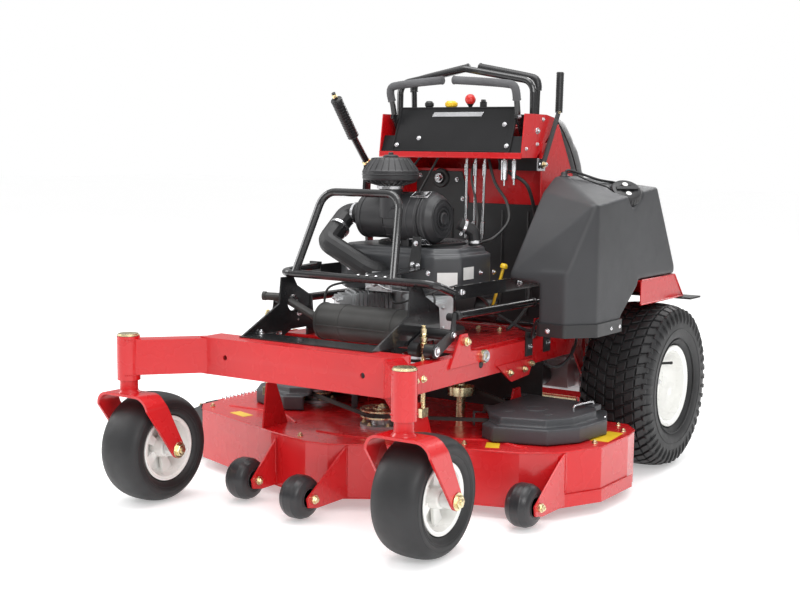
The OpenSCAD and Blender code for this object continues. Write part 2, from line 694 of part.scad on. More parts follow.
module idler_pulley() color(zinc) {
    difference() {
        union() {
            zcyl(284, 312, idler.x, idler.y, 43);
            zcyl(278, 284, idler.x, idler.y, 24);
        }
        zcyl(300, 320, idler.x, idler.y, 34);
        zcyl(270, 320, idler.x, idler.y, 8.05);
    }
}
// the blade belt's middle line: an arc round each pulley, lifted to the engine pulley behind
belt_r = pulley_r + belt_half_w + 1;
function belt_arc(c, a0, a1, n) = [for (i = [0 : n]) let (a = mix(a0, a1, i / n))
    [c.x + belt_r * cos(a), c.y + belt_r * sin(a)]];
front_turn = atan2(spindle_x, -(spindle_y - centre_spindle_y)) - 180;
belt_plan = concat(
    belt_arc(spindles[0], front_turn, 90, 14),
    [for (x = [370, 280, 190, 85, 0, -85, -190, -280, -370]) [x, spindle_y + belt_r]],
    belt_arc(spindles[2], 90, 180 - front_turn, 14),
    belt_arc(spindles[1], -180 - front_turn, front_turn, 6));
function belt_height(p) = p.y < spindle_y + belt_r - 1 ? pulley_z :
    pulley_z + (engine_belt_z - pulley_z) * max(0, min(1, (370 - abs(p.x)) / 285));
belt_section = [[-belt_half_w, -belt_half_h], [belt_half_w, -belt_half_h], [belt_half_w, belt_half_h],
    [-belt_half_w, belt_half_h]];
module deck_belt() color(black) {
    n = len(belt_plan);
    rings = [for (i = [0 : n - 1]) let (p = belt_plan[i],
        q = unit(belt_plan[(i + 1) % n] - belt_plan[(i + n - 1) % n])) for (c = belt_section)
            [p.x + q.y * c.x, p.y - q.x * c.x, belt_height(p) + c.y]];
    polyhedron(rings, [for (i = [0 : n - 1]) for (k = [0 : 3])
        [i * 4 + k, i * 4 + (k + 1) % 4, ((i + 1) % n) * 4 + (k + 1) % 4, ((i + 1) % n) * 4 + k]]);
}
cover_low = [[225, 775], [330, 640], [400, 600], [560, 650], [618, 740], [632, 900], [570, 1030],
    [200, 1060], [190, 960], [235, 900]];
module belt_cover() color(charcoal) difference() {
    union() {
        translate([0, 0, deck_top + 1]) linear_extrude(48) polygon(cover_low);
        translate([0, 0, deck_top + 49]) linear_extrude(24) polygon(scaled_cover(0.84));
    }
    translate([0, 0, deck_top]) linear_extrude(46) polygon(scaled_cover(0.965));
    translate([0, 0, deck_top + 40]) linear_extrude(30) polygon(scaled_cover(0.8));
    // mouth where the belt enters
    box([180, 560, deck_top], [345, 762, deck_top + 62]);
    box([170, 780, deck_top], [294, 1012, deck_top + 90]);
}
function scaled_cover(f) = [for (p = cover_low) [430, 830] + (p - [430, 830]) * f];
module deck_hardware() color(zinc) {
    both() {
        // height-of-cut rods on their hangers
        zcyl(300, 560, rod_x + 12, rod_y + 4, 6.5);
        zcyl(520, 532, rod_x + 12, rod_y + 4, 11);
        zcyl(544, 556, rod_x + 12, rod_y + 4, 9);
        zcyl(484, 504, rod_x + 12, rod_y + 4, 9);
        box([rod_x + 3, rod_y - 12, 300], [rod_x + 20, rod_y + 20, 326]);
    }
    for (r = rollers) {
        xcyl(r[0] - 40, r[0] + roller_gap + 3, r[1], roller_z, 8);
        xcyl(r[0] + roller_gap + 3, r[0] + roller_gap + 10, r[1], roller_z, 13);
        xcyl(r[0] - 48, r[0] - 40, r[1], roller_z, 13);
    }
    // bolt and spacer that the idler turns on
    zcyl(deck_top, 277, idler.x, idler.y, 15);
    zcyl(277, 300, idler.x, idler.y, 8);
    zcyl(313, 320, idler.x, idler.y, 12);
    zcyl(300, 313, idler.x, idler.y, 8);
}
module roller(r) color(black) let (x = r[0], y = r[1]) difference() {
    translate([x, y, roller_z]) rotate([0, 90, 0]) rotate_extrude()
        polygon([[0, -38], [38, -38], [54, -32], [roller_r, -14], [roller_r, 14], [54, 32], [38, 38],
            [0, 38]]);
    xcyl(x - 40, x + 40, y, roller_z, 8.05);
}
module deflector() color(black) difference() {
    union() {
        // sloping chute cover with front and back cheeks
        side_outline_y(chute_front - 18, chute_back + 18, [[-712, hinge_z + 10], [-720, hinge_z + 2],
            [-940, 96], [-deflector_out, 60], [-deflector_out, 50], [-934, 84], [-720, 172], [-712, 172]]);
        for (y = [chute_front - 18, chute_back + 12]) side_outline_y(y, y + 6,
            [[-700, 172], [-720, 174], [-934, 86], [-deflector_out, 52], [2 - deflector_out, 48],
                [-700, 62]]);
        for (y = [chute_front, chute_back - 60]) {
            ycyl(y, y + 50, -703, hinge_z + 6, 9);
            box([-722, y, hinge_z - 2], [-703, y + 50, hinge_z + 4]);
        }
    }
    ycyl(chute_front - 20, chute_back + 20, -703, hinge_z + 6, 4 + run);
}
module side_outline_y(y0, y1, outline)
    translate([0, y1, 0]) rotate([90, 0, 0]) linear_extrude(y1 - y0) polygon(outline);

// ---------------------------------------------------------------- deck lift
module lift_lever() color(black) {
    difference() {
        union() {
            side_plate(lever_x - 5, lever_x + 5, [[1010, 492], [1030, 480], [1050, 492], [1046, 560],
                [1010, 925], [1018, 1010], [984, 1022], [976, 925], [1014, 560]]);
            bar([lever_x, 1000, 1010], [lever_x, 908, 1112], 12);
            bar([lever_x, 912, 1108], [lever_x, 818, 1226], 19);
            bar([lever_x, 822, 1221], [lever_x, 802, 1246], 7);
        }
        xcyl(lever_x - 10, lever_x + 10, lever_pivot.x, lever_pivot.y, 8);
    }
    // cross shaft with the arms that pull the links
    xcyl(lever_x - 7, rail_x + 8, lever_pivot.x, lever_pivot.y, 8);
    both() side_plate(rail_x + 4, rail_x + 8, [[1018, 490], [1042, 490], [1040, 592], [1020, 592]]);
}
module lift_bellcranks() color(black) both() difference() {
    union() {
        xcyl(246, 336, bell.x, bell.y, 16);
        // twin arms, with a bush at each end that carries the height rod between them
        for (x = [246, 332]) side_plate(x, x + 4, [[bell.x + 16, bell.y - 4], [bell.x + 14, bell.y + 12],
            [bell.x - 4, bell.y + 16], [rod_y + 2, boss_z + 20], [rod_y - 14, boss_z + 8],
            [rod_y - 14, boss_z - 10], [rod_y + 8, boss_z - 18], [bell.x + 6, bell.y - 16]]);
        xcyl(250, 279, rod_y + 4, boss_z, 21);
        xcyl(301, 332, rod_y + 4, boss_z, 21);
        // upright arm for the link
        side_plate(332, 336, [[bell.x - 12, bell.y], [bell.x + 14, bell.y], [bell.x + 18, link_z + 12],
            [bell.x, link_z + 12]]);
    }
    xcyl(240, 340, bell.x, bell.y, 10 + run);
}
module lift_links() color(black) both() {
    bar([link_x, 520, link_z], [link_x, 990, link_z - 3], 13);
    bar([link_x, 484, link_z], [link_x, 520, link_z], 8);
    bar([link_x, 990, link_z - 3], [link_x, 1036, link_z - 3], 8);
}

// ---------------------------------------------------------------- platform
module platform() color(black) difference() {
    union() {
        box([-235, 1550, 150], [235, platform_end, 156]);
        both() box([229, 1550, 156], [235, platform_end, 176]);
        box([-229, platform_end - 6, 156], [229, platform_end, 176]);
        // non-slip mat
        box([-229, 1556, 156], [229, platform_end - 6, 166]);
        both() side_plate(214, 220, [[1518, 156], [1552, 150], [1558, 156], [1558, 184], [1518, 182]]);
    }
    xcyl(-250, 250, hinge.x, hinge.y, 8.05);
}
module frame_hardware() color(zinc) {
    both() {
        // dust caps on the caster pivots
        zcyl(tube_high, tube_high + 7, caster_x, 0, 30);
        // bolts in the rail gussets
        xcyl(rail_x + 26, rail_x + 34, 508, 512, 12);
        xcyl(rail_x + 26, rail_x + 36, 612, 456, 20);
        for (p = [[770, 384], [860, 384], [905, 396]]) xcyl(rail_x + 26, rail_x + 32, p.x, p.y, 9);
    }
    // platform hinge pin
    xcyl(-226, 226, hinge.x, hinge.y, 8);
}

place() main_frame();
place() rear_tower();
place() fenders();
place() mud_flaps();
place() engine_guard();
place() guard_brackets();
place() muffler();
place() engine_block();
place() engine_shroud();
place() air_cleaner();
place() precleaner();
place() intake_hoses();
place() fuel_tank();
place() tank_tray();
place() console_shell();
place() console_panel();
place() reference_bar();
place() hip_pad();
place() control_rods();
place() drive_units();
place() traction_belt();
place() battery();
place() frame_hardware();
place() caster_fork();  // caster_fork_left
place() mirror([1, 0, 0]) caster_fork();  // caster_fork_right
place() caster_rim();  // caster_rim_left
place() translate([-2 * caster_x, 0, 0]) caster_rim();  // caster_rim_right
place() caster_tyre();  // caster_tyre_left
place() translate([-2 * caster_x, 0, 0]) caster_tyre();  // caster_tyre_right
place() drive_rim();  // drive_rim_left
place() mirror([1, 0, 0]) drive_rim();  // drive_rim_right
place() drive_tyre();  // drive_tyre_left
place() mirror([1, 0, 0]) drive_tyre();  // drive_tyre_right
place() deck_shell();
place() belt_cover();  // belt_cover_left
place() mirror([1, 0, 0]) belt_cover();  // belt_cover_right
place() spindle_housings();
place() deck_belt();
place() deck_hardware();
place() roller(rollers[0]);  // roller_left
place() roller(rollers[1]);  // roller_centre
place() roller(rollers[2]);  // roller_right
place() spindle(spindles[0]);  // spindle_left
place() spindle(spindles[1]);  // spindle_centre
place() spindle(spindles[2]);  // spindle_right
place() idler_pulley();
place() deflector();
place() lift_lever();
place() lift_bellcranks();
place() lift_links();
place() control_lever();  // control_lever_left
place() mirror([1, 0, 0]) control_lever();  // control_lever_right
place() brake_lever();
place() throttle_knob();
place() choke_knob();
place() pto_knob();
place() ignition_key();
place() fuel_cap();
place() crank_pulley();
place() platform();
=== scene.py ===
import bpy, bmesh
from math import copysign, cos, dist, exp, pi, radians, sin
from mathutils import Matrix, Vector


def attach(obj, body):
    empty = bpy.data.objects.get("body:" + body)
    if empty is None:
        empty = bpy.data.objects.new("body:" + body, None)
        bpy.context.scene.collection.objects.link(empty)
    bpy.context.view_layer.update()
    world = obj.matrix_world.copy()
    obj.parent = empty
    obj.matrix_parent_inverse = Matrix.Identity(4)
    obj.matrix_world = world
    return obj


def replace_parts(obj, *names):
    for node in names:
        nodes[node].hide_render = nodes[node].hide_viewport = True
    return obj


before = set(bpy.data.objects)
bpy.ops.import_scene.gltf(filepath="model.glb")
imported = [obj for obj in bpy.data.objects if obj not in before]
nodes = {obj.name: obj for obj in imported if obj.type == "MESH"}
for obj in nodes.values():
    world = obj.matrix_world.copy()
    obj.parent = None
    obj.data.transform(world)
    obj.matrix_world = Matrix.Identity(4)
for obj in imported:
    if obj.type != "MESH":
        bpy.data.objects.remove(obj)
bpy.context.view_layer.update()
scene = bpy.context.scene

# the frame's origin, given from the machine's centre plane and its caster pivots, in millimetres
MID_X, MID_Y = -138, 878.5
# each wheel: how far out and how far back its middle is, and its radius
DRIVE_WHEEL = 525, 1412, 278
CASTER_WHEEL = 491, 97, 165
CASTER_X = CASTER_WHEEL[0]
# which way is out, and the ending of the names on that side
SIDES = ((1, "left"), (-1, "right"))
# the deck's spindles and rollers, seen from above
SPINDLES = {"left": (430, 810), "centre": (0, 600), "right": (-430, 810)}
ROLLERS = {"left": (585, 470), "centre": (15, 170), "right": (-252, 240)}
ROLLER_Z = 70
PULLEY_Z = 245
DECK_TOP = 200
COVER_TOP = 273.2
# the deck's height rods and the shaft of the bellcranks
ROD_X, ROD_Y = 290, 391
BELL_Y, BELL_Z = 391, 494
MUFFLER_Y, MUFFLER_Z = 490, 534
CLEANER_Y, CLEANER_Z = 700, 853
BOWL_X, BOWL_Y, BOWL_Z = -14, 655, 940
FAN_Y = 820
# pin of the control levers, row and height of the hand controls, and how the meter leans
LEVER_PIN = 1062, 1085
CONTROLS_Y, CONSOLE_TOP = 1045, 1168
METER_TILT = -0.15
BRAKE_X, LIFT_X = 296, -352
# the shield's plane on the tower, and the face of the platform's mat
SHIELD_Y = 1159.5
MAT_Z = 165.5


def V(x, y, z):
    return Vector((x, y, z))


X, Y, Z = V(1, 0, 0), V(0, 1, 0), V(0, 0, 1)


def P(x, y, z):
    """A point given from the machine's centre plane, its caster pivots and the ground, in millimetres."""
    return V((x - MID_X) / 1000, (y - MID_Y) / 1000, z / 1000)


def ray(t):
    """The level direction at angle t."""
    return V(cos(t), sin(t), 0)


def turns(n, start=0.0):
    """The n angles of an even ring."""
    return [2 * pi * (k + start) / n for k in range(n)]


def ramp(nt, lo, hi, a, b):
    r = nt.nodes.new("ShaderNodeValToRGB")
    first, last = r.color_ramp.elements
    first.position, last.position = lo, hi
    first.color, last.color = a, b
    return r


def material(name, base, rough, metal, coat, vary, rough_vary, grain, bump, blotch, edge,
             sheen=0.0, kind="noise", spec=0.5, dust=0.0):
    """A painted, moulded or plated surface: blotches in colour and gloss, fine grain, softened edges."""
    m = bpy.data.materials.new(name)
    m.use_nodes = True
    nt = m.node_tree
    n, l = nt.nodes, nt.links
    bsdf = n["Principled BSDF"]
    bsdf.inputs["Metallic"].default_value = metal
    bsdf.inputs["Coat Weight"].default_value = coat
    bsdf.inputs["Coat Roughness"].default_value = 0.06
    bsdf.inputs["Sheen Weight"].default_value = sheen
    bsdf.inputs["Specular IOR Level"].default_value = spec
    tc = n.new("ShaderNodeTexCoord")
    big = n.new("ShaderNodeTexNoise")
    big.inputs["Scale"].default_value = blotch
    big.inputs["Detail"].default_value = 6
    l.new(tc.outputs["Object"], big.inputs["Vector"])
    c = Vector(base)
    lo = tuple(c * (1 - vary)) + (1,)
    hi = tuple(Vector([min(1, v) for v in c * (1 + vary)])) + (1,)
    cr = ramp(nt, 0.3, 0.7, lo, hi)
    l.new(big.outputs["Fac"], cr.inputs["Fac"])
    colour = cr.outputs["Color"]
    if dust:
        # pale wear on the convex edges
        geo = n.new("ShaderNodeNewGeometry")
        wear = ramp(nt, 0.52, 0.62, (0, 0, 0, 1), (1, 1, 1, 1))
        l.new(geo.outputs["Pointiness"], wear.inputs["Fac"])
        mix = n.new("ShaderNodeMix")
        mix.data_type = "RGBA"
        scale = n.new("ShaderNodeMath")
        scale.operation = "MULTIPLY"
        scale.inputs[1].default_value = dust
        l.new(wear.outputs["Color"], scale.inputs[0])
        l.new(scale.outputs[0], mix.inputs["Factor"])
        l.new(colour, mix.inputs["A"])
        mix.inputs["B"].default_value = tuple(min(1, v + 0.25) for v in c) + (1,)
        colour = mix.outputs["Result"]
    l.new(colour, bsdf.inputs["Base Color"])
    fine = n.new("ShaderNodeTexNoise") if kind == "noise" else n.new("ShaderNodeTexVoronoi")
    fine.inputs["Scale"].default_value = grain
    l.new(tc.outputs["Object"], fine.inputs["Vector"])
    out = fine.outputs["Fac"] if kind == "noise" else fine.outputs["Distance"]
    rr = n.new("ShaderNodeMapRange")
    rr.inputs["To Min"].default_value = max(0.02, rough - rough_vary)
    rr.inputs["To Max"].default_value = min(1, rough + rough_vary)
    mid = n.new("ShaderNodeTexNoise")
    mid.inputs["Scale"].default_value = blotch * 5
    l.new(tc.outputs["Object"], mid.inputs["Vector"])
    l.new(mid.outputs["Fac"], rr.inputs["Value"])
    l.new(rr.outputs["Result"], bsdf.inputs["Roughness"])
    bp = n.new("ShaderNodeBump")
    bp.inputs["Strength"].default_value = bump
    bp.inputs["Distance"].default_value = 0.001
    l.new(out, bp.inputs["Height"])
    if edge:
        bev = n.new("ShaderNodeBevel")
        bev.samples = 4
        bev.inputs["Radius"].default_value = edge
        l.new(bev.outputs["Normal"], bp.inputs["Normal"])
    l.new(bp.outputs["Normal"], bsdf.inputs["Normal"])
    return m


# name, colour, roughness, metal, coat, spread of colour, spread of gloss, grain, bump, blotches,
# edge radius
RED = material("red_powder_coat", (0.56, 0.004, 0.007), 0.27, 0, 0.3, 0.08, 0.05, 260, 0.04, 3,
               0.0016, spec=0.4, dust=0.06)
BLACK = material("black_powder_coat", (0.012, 0.012, 0.013), 0.25, 0, 0.5, 0.3, 0.06, 260,
                 0.05, 4, 0.0014)
PANEL = material("panel_black", (0.009, 0.009, 0.01), 0.5, 0, 0, 0.25, 0.06, 420, 0.06, 5,
                 0.0012, spec=0.25)
SATIN = material("satin_black", (0.016, 0.016, 0.017), 0.42, 0, 0.1, 0.3, 0.08, 300, 0.07, 5,
                 0.0012)
WHITE = material("white_enamel", (0.86, 0.86, 0.83), 0.28, 0, 0.4, 0.04, 0.06, 200, 0.03, 5,
                 0.0015)
TYRE = material("tyre_rubber", (0.016, 0.016, 0.017), 0.52, 0, 0, 0.35, 0.1, 650, 0.16, 7, 0.0015,
                spec=0.45)
TANK = material("grained_tank_plastic", (0.034, 0.035, 0.038), 0.46, 0, 0, 0.16, 0.07, 1500,
                0.22, 5, 0.0, kind="voronoi")
COVER = material("grained_cover_plastic", (0.05, 0.052, 0.057), 0.42, 0, 0, 0.14, 0.07, 1500,
                 0.2, 6, 0.0, kind="voronoi")
ENGINE = material("engine_moulding", (0.025, 0.025, 0.027), 0.44, 0, 0, 0.25, 0.08, 900,
                  0.18, 6, 0.0012)
SHROUD = material("shroud_moulding", (0.05, 0.052, 0.056), 0.36, 0, 0.1, 0.15, 0.07, 900,
                  0.1, 6, 0.003)
MUFFLER = material("muffler_heat_paint", (0.055, 0.054, 0.052), 0.42, 0.3, 0, 0.3, 0.1, 500,
                   0.16, 9, 0.001)
ALLOY = material("cast_alloy", (0.56, 0.57, 0.58), 0.42, 0.9, 0, 0.2, 0.14, 500, 0.4, 12,
                 0.0012)
STEEL = material("machined_steel", (0.5, 0.5, 0.52), 0.3, 1, 0, 0.15, 0.1, 300, 0.06, 14,
                 0.0008)
BRIGHT = material("bright_zinc", (0.78, 0.78, 0.8), 0.22, 1, 0, 0.1, 0.08, 300, 0.05, 14,
                  0.0006)
ZINC = material("yellow_zinc", (0.7, 0.61, 0.38), 0.28, 1, 0, 0.22, 0.1, 350, 0.08, 16, 0.0008)
BRASS = material("brass", (0.83, 0.67, 0.36), 0.25, 1, 0, 0.14, 0.08, 350, 0.05, 16, 0.0006)
HOSE = material("hose_rubber", (0.012, 0.012, 0.013), 0.5, 0, 0, 0.3, 0.1, 800, 0.15, 9, 0.0)
BELT = material("belt_fabric", (0.03, 0.028, 0.025), 0.75, 0, 0, 0.35, 0.1, 1800, 0.5, 12, 0.0)
FOAM = material("grip_foam", (0.1, 0.1, 0.105), 0.78, 0, 0, 0.14, 0.08, 1400, 0.6, 12, 0.0,
                kind="voronoi")
VINYL = material("black_vinyl", (0.018, 0.018, 0.019), 0.42, 0, 0, 0.25, 0.08, 420, 0.35, 8,
                 0.0, sheen=0.1, kind="voronoi")
ROLLER = material("roller_plastic", (0.022, 0.022, 0.024), 0.35, 0, 0, 0.25, 0.1, 900,
                  0.12, 8, 0.002)
PLASTIC = material("black_plastic", (0.014, 0.014, 0.015), 0.38, 0, 0, 0.25, 0.08, 1200,
                   0.12, 10, 0.001)
RED_P = material("red_plastic", (0.62, 0.02, 0.015), 0.3, 0, 0.2, 0.08, 0.06, 900, 0.06, 20,
                 0.001)
YELLOW = material("yellow_plastic", (0.85, 0.55, 0.02), 0.32, 0, 0.2, 0.08, 0.06, 900,
                  0.06, 20, 0.001)
STICKER = material("yellow_sticker", (0.86, 0.56, 0.02), 0.4, 0, 0.3, 0.06, 0.06, 500,
                   0.03, 30, 0.0)
LABEL = material("white_sticker", (0.8, 0.8, 0.78), 0.4, 0, 0.3, 0.04, 0.06, 500, 0.03, 30,
                 0.0)
MAT = material("platform_mat", (0.014, 0.014, 0.014), 0.72, 0, 0, 0.3, 0.1, 600, 0.3, 12,
               0.001)
WIRE = material("wire_sheath", (0.02, 0.02, 0.02), 0.45, 0, 0, 0.2, 0.1, 900, 0.1, 20, 0.0)
# black rubber of the mud flaps, and also the colour of the painted-shade sheet behind the deck
RUBBER_AND_SHADE = material("rubber_sheet", (0.018, 0.018, 0.018), 0.62, 0, 0, 0.3, 0.1, 500, 0.25, 10,
                0.001)

NODE_MATERIAL = {}
for mat, names in (
    (RED, "main_frame rear_tower fenders console_shell caster_fork_left caster_fork_right deck_shell"),
    (BLACK, "engine_guard guard_brackets reference_bar lift_lever lift_links deflector"),
                   (PANEL, "console_panel"),
    (SATIN, "tank_tray lift_bellcranks platform brake_lever"),
    (RUBBER_AND_SHADE, "mud_flaps"), (MUFFLER, "muffler"), (ALLOY, "engine_block spindle_housings drive_units"),
    (SHROUD, "engine_shroud"), (ENGINE, "air_cleaner precleaner"), (HOSE, "intake_hoses"),
                   (TANK, "fuel_tank"),
    (COVER, "belt_cover_left belt_cover_right"), (ZINC, "frame_hardware deck_hardware idler_pulley"),
                   (BRIGHT, "control_rods"),
    (BELT, "traction_belt deck_belt"), (PLASTIC, "battery choke_knob ignition_key fuel_cap"),
    (WHITE, "caster_rim_left caster_rim_right drive_rim_left drive_rim_right"),
    (TYRE, "caster_tyre_left caster_tyre_right drive_tyre_left drive_tyre_right"),
    (ROLLER, "roller_left roller_centre roller_right"),
                   (STEEL, "spindle_left spindle_centre spindle_right crank_pulley"),
    (FOAM, "control_lever_left control_lever_right"), (RED_P, "throttle_knob"), (YELLOW, "pto_knob"),
                   (VINYL, "hip_pad"),
):
    for k in names.split():
        NODE_MATERIAL[k] = mat
for k, o in nodes.items():
    o.data.materials.clear()
    o.data.materials.append(NODE_MATERIAL[k])


# ---------------------------------------------------------------- mesh building
def basis(d):
    d = d.normalized()
    u = d.cross(V(0, 0, 1) if abs(d.z) < 0.9 else V(1, 0, 0)).normalized()
    return u, d.cross(u), d


def spline(pts, per=8):
    """A smooth curve through the points."""
    q = [pts[0] * 2 - pts[1]] + list(pts) + [pts[-1] * 2 - pts[-2]]
    out = []
    for i in range(1, len(q) - 2):
        a, b, c, d = q[i - 1:i + 3]
        for k in range(per):
            t = k / per
            out.append(0.5 * (2 * b + (c - a) * t + (2 * a - 5 * b + 4 * c - d) * t * t
                              + (3 * b - a - 3 * c + d) * t ** 3))
    return out + [pts[-1]]


class Build:
    """Collects solids in one mesh, until done() makes a piece of them and leaves the builder empty.
    Sizes are in millimetres, and points come from P."""

    def __init__(self):
        self.bm = bmesh.new()

    def rings(self, loops, close=True, wrap=False):
        vs = [[self.bm.verts.new(p) for p in loop] for loop in loops]
        n = len(vs[0])
        for i in range(len(vs) if wrap else len(vs) - 1):
            a, b = vs[i], vs[(i + 1) % len(vs)]
            for k in range(n):
                self.bm.faces.new((a[k], a[(k + 1) % n], b[(k + 1) % n], b[k]))
        if close and not wrap:
            self.bm.faces.new(list(reversed(vs[0])))
            self.bm.faces.new(vs[-1])
        return self

    def lathe(self, centre, axis, profile, seg=32):
        """profile is [(radius, offset along the axis)] in millimetres."""
        u, v, d = basis(Vector(axis))
        loops = [[centre + d * (z / 1000) + (u * cos(t) + v * sin(t)) * (max(r, 0.05) / 1000)
                  for t in (2 * pi * k / seg for k in range(seg))] for r, z in profile]
        return self.rings(loops)

    def hoop(self, centre, axis, profile, seg=64):
        """Like lathe, but the profile is a closed loop clear of the axis."""
        u, v, d = basis(Vector(axis))
        loops = [[centre + d * (z / 1000) + (u * cos(t) + v * sin(t)) * (r / 1000)
                  for t in (2 * pi * k / seg for k in range(seg))] for r, z in profile]
        return self.rings(loops, wrap=True)

    def rod(self, a, b, r, seg=16):
        """A round bar with chamfered ends."""
        h = (b - a).length * 1000
        c = min(r * 0.18, h * 0.2)
        return self.lathe(a, b - a, [(r - c, 0), (r, c), (r, h - c), (r - c, h)], seg)

    def sweep(self, pts, r, seg=12, ribs=None, smooth=True):
        """A round section along a curve, with ribs given as (pitch, height)."""
        path = spline(pts) if smooth and len(pts) > 2 else list(pts)
        if ribs:
            fine = []
            for a, b in zip(path, path[1:]):
                m = max(1, int((b - a).length * 1000 / (ribs[0] / 4)))
                fine += [a.lerp(b, k / m) for k in range(m)]
            path = fine + [path[-1]]
        n = len(path)
        loops, run, u = [], 0.0, None
        for i in range(n):
            d = (path[min(i + 1, n - 1)] - path[max(i - 1, 0)]).normalized()
            u = basis(d)[0] if u is None else (u - d * u.dot(d)).normalized()
            v = d.cross(u)
            if i:
                run += (path[i] - path[i - 1]).length * 1000
            rr = r + (ribs[1] * cos(2 * pi * run / ribs[0]) if ribs else 0)
            loops.append([path[i] + (u * cos(t) + v * sin(t)) * (rr / 1000)
                          for t in (2 * pi * k / seg for k in range(seg))])
        return self.rings(loops)

    def bar(self, pts, r, seg=8, ribs=None):
        """A round section along straight stretches."""
        return self.sweep(pts, r, seg, ribs, smooth=False)

    def plate(self, outline, d):
        """An outline of points pushed along the vector d."""
        return self.rings([outline, [p + d for p in outline]])

    def block(self, a, b):
        lo, hi = [min(p) for p in zip(a, b)], [max(p) for p in zip(a, b)]
        return self.plate([V(lo[0], lo[1], lo[2]), V(hi[0], lo[1], lo[2]), V(hi[0], hi[1], lo[2]),
                           V(lo[0], hi[1], lo[2])], V(0, 0, hi[2] - lo[2]))

    def bolt(self, p, axis, r=8.0, h=7.0, washer=True, turn=0.0, socket=False):
        """A hexagon-headed bolt or nut on a washer, standing on the surface at p."""
        u, v, d = basis(Vector(axis))
        if washer:
            self.lathe(p, axis, [(r * 1.3, 0), (r * 1.35, 0.6), (r * 1.3, 1.6), (r * 0.4, 1.6)], 20)
        base = p + d * 0.0014

        def hexa(rad, z):
            return [base + d * (z / 1000) + (u * cos(t + turn) + v * sin(t + turn)) * (rad / 1000)
                    for t in (pi / 3 * k for k in range(6))]
        self.rings([hexa(r, 0), hexa(r, h * 0.8), hexa(r * 0.86, h)])
        if not socket:
            self.lathe(base + d * (h / 1000), axis,
                       [(r * 0.5, -0.2), (r * 0.5, h * 0.35), (r * 0.36, h * 0.5)], 12)
        return self

    def done(self, name, mat, body, bevel=0.0, smooth=35):
        """Makes the piece, which rides on the body."""
        bmesh.ops.recalc_face_normals(self.bm, faces=self.bm.faces)
        me = bpy.data.meshes.new(name)
        self.bm.to_mesh(me)
        self.bm.clear()
        ob = bpy.data.objects.new(name, me)
        scene.collection.objects.link(ob)
        me.materials.append(mat)
        me.shade_smooth()
        me.set_sharp_from_angle(angle=radians(smooth))
        if bevel:
            m = ob.modifiers.new("edge", "BEVEL")
            m.width, m.segments = bevel / 1000, 2
            m.limit_method, m.angle_limit = "ANGLE", radians(30)
            m.harden_normals = False
        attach(ob, body)
        return ob


def copy_of(node, name, mat, body, voxel, relax_steps):
    """A softly rounded moulding made from a CAD node, which it stands for."""
    ob = bpy.data.objects.new(name, nodes[node].data.copy())
    scene.collection.objects.link(ob)
    ob.data.materials.clear()
    ob.data.materials.append(mat)
    m = ob.modifiers.new("remesh", "REMESH")
    m.mode, m.voxel_size = "VOXEL", voxel
    s = ob.modifiers.new("relax", "SMOOTH")
    s.factor, s.iterations = 0.5, relax_steps
    apply_all(ob)
    ob.data.materials.clear()
    ob.data.materials.append(mat)
    ob.data.shade_smooth()
    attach(ob, body)
    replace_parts(ob, node)


def apply_all(ob):
    bpy.context.view_layer.update()
    dg = bpy.context.evaluated_depsgraph_get()
    me = bpy.data.meshes.new_from_object(ob.evaluated_get(dg))
    ob.modifiers.clear()
    ob.data = me


def bead(b, a, c, r=2.6, pitch=5.0):
    """A run of weld beads from a to c."""
    n = max(2, int((c - a).length * 1000 / pitch))
    for i in range(n + 1):
        p = a.lerp(c, i / n)
        d = (c - a).normalized()
        b.lathe(p, d, [(r * 0.55, -2.6), (r, -0.6), (r, 0.8), (r * 0.55, 2.6)], 8)


# ---------------------------------------------------------------- tyres and rims
def superellipse(r_in, r_out, half, n=28, power=0.62):
    """Half a tyre's section, as (radius, offset along the axle)."""
    mid, h = (r_in + r_out) / 2, (r_out - r_in) / 2
    out = []
    for i in range(n + 1):
        t = radians(-90 + 180 * i / n)
        s = sin(t)
        out.append((mid + h * abs(cos(t)) ** power, half * copysign(abs(s) ** power, s)))
    return out


def hub(wheel, s):
    """Middle of the wheel on that side."""
    x, y, r = wheel
    return P(x * s, y, r)


def tyre_section(bead, crown):
    """A closed section from the bead on one side over the crown to the other."""
    return [(r, -x) for r, x in bead] + crown + [(r, x) for r, x in reversed(bead)]


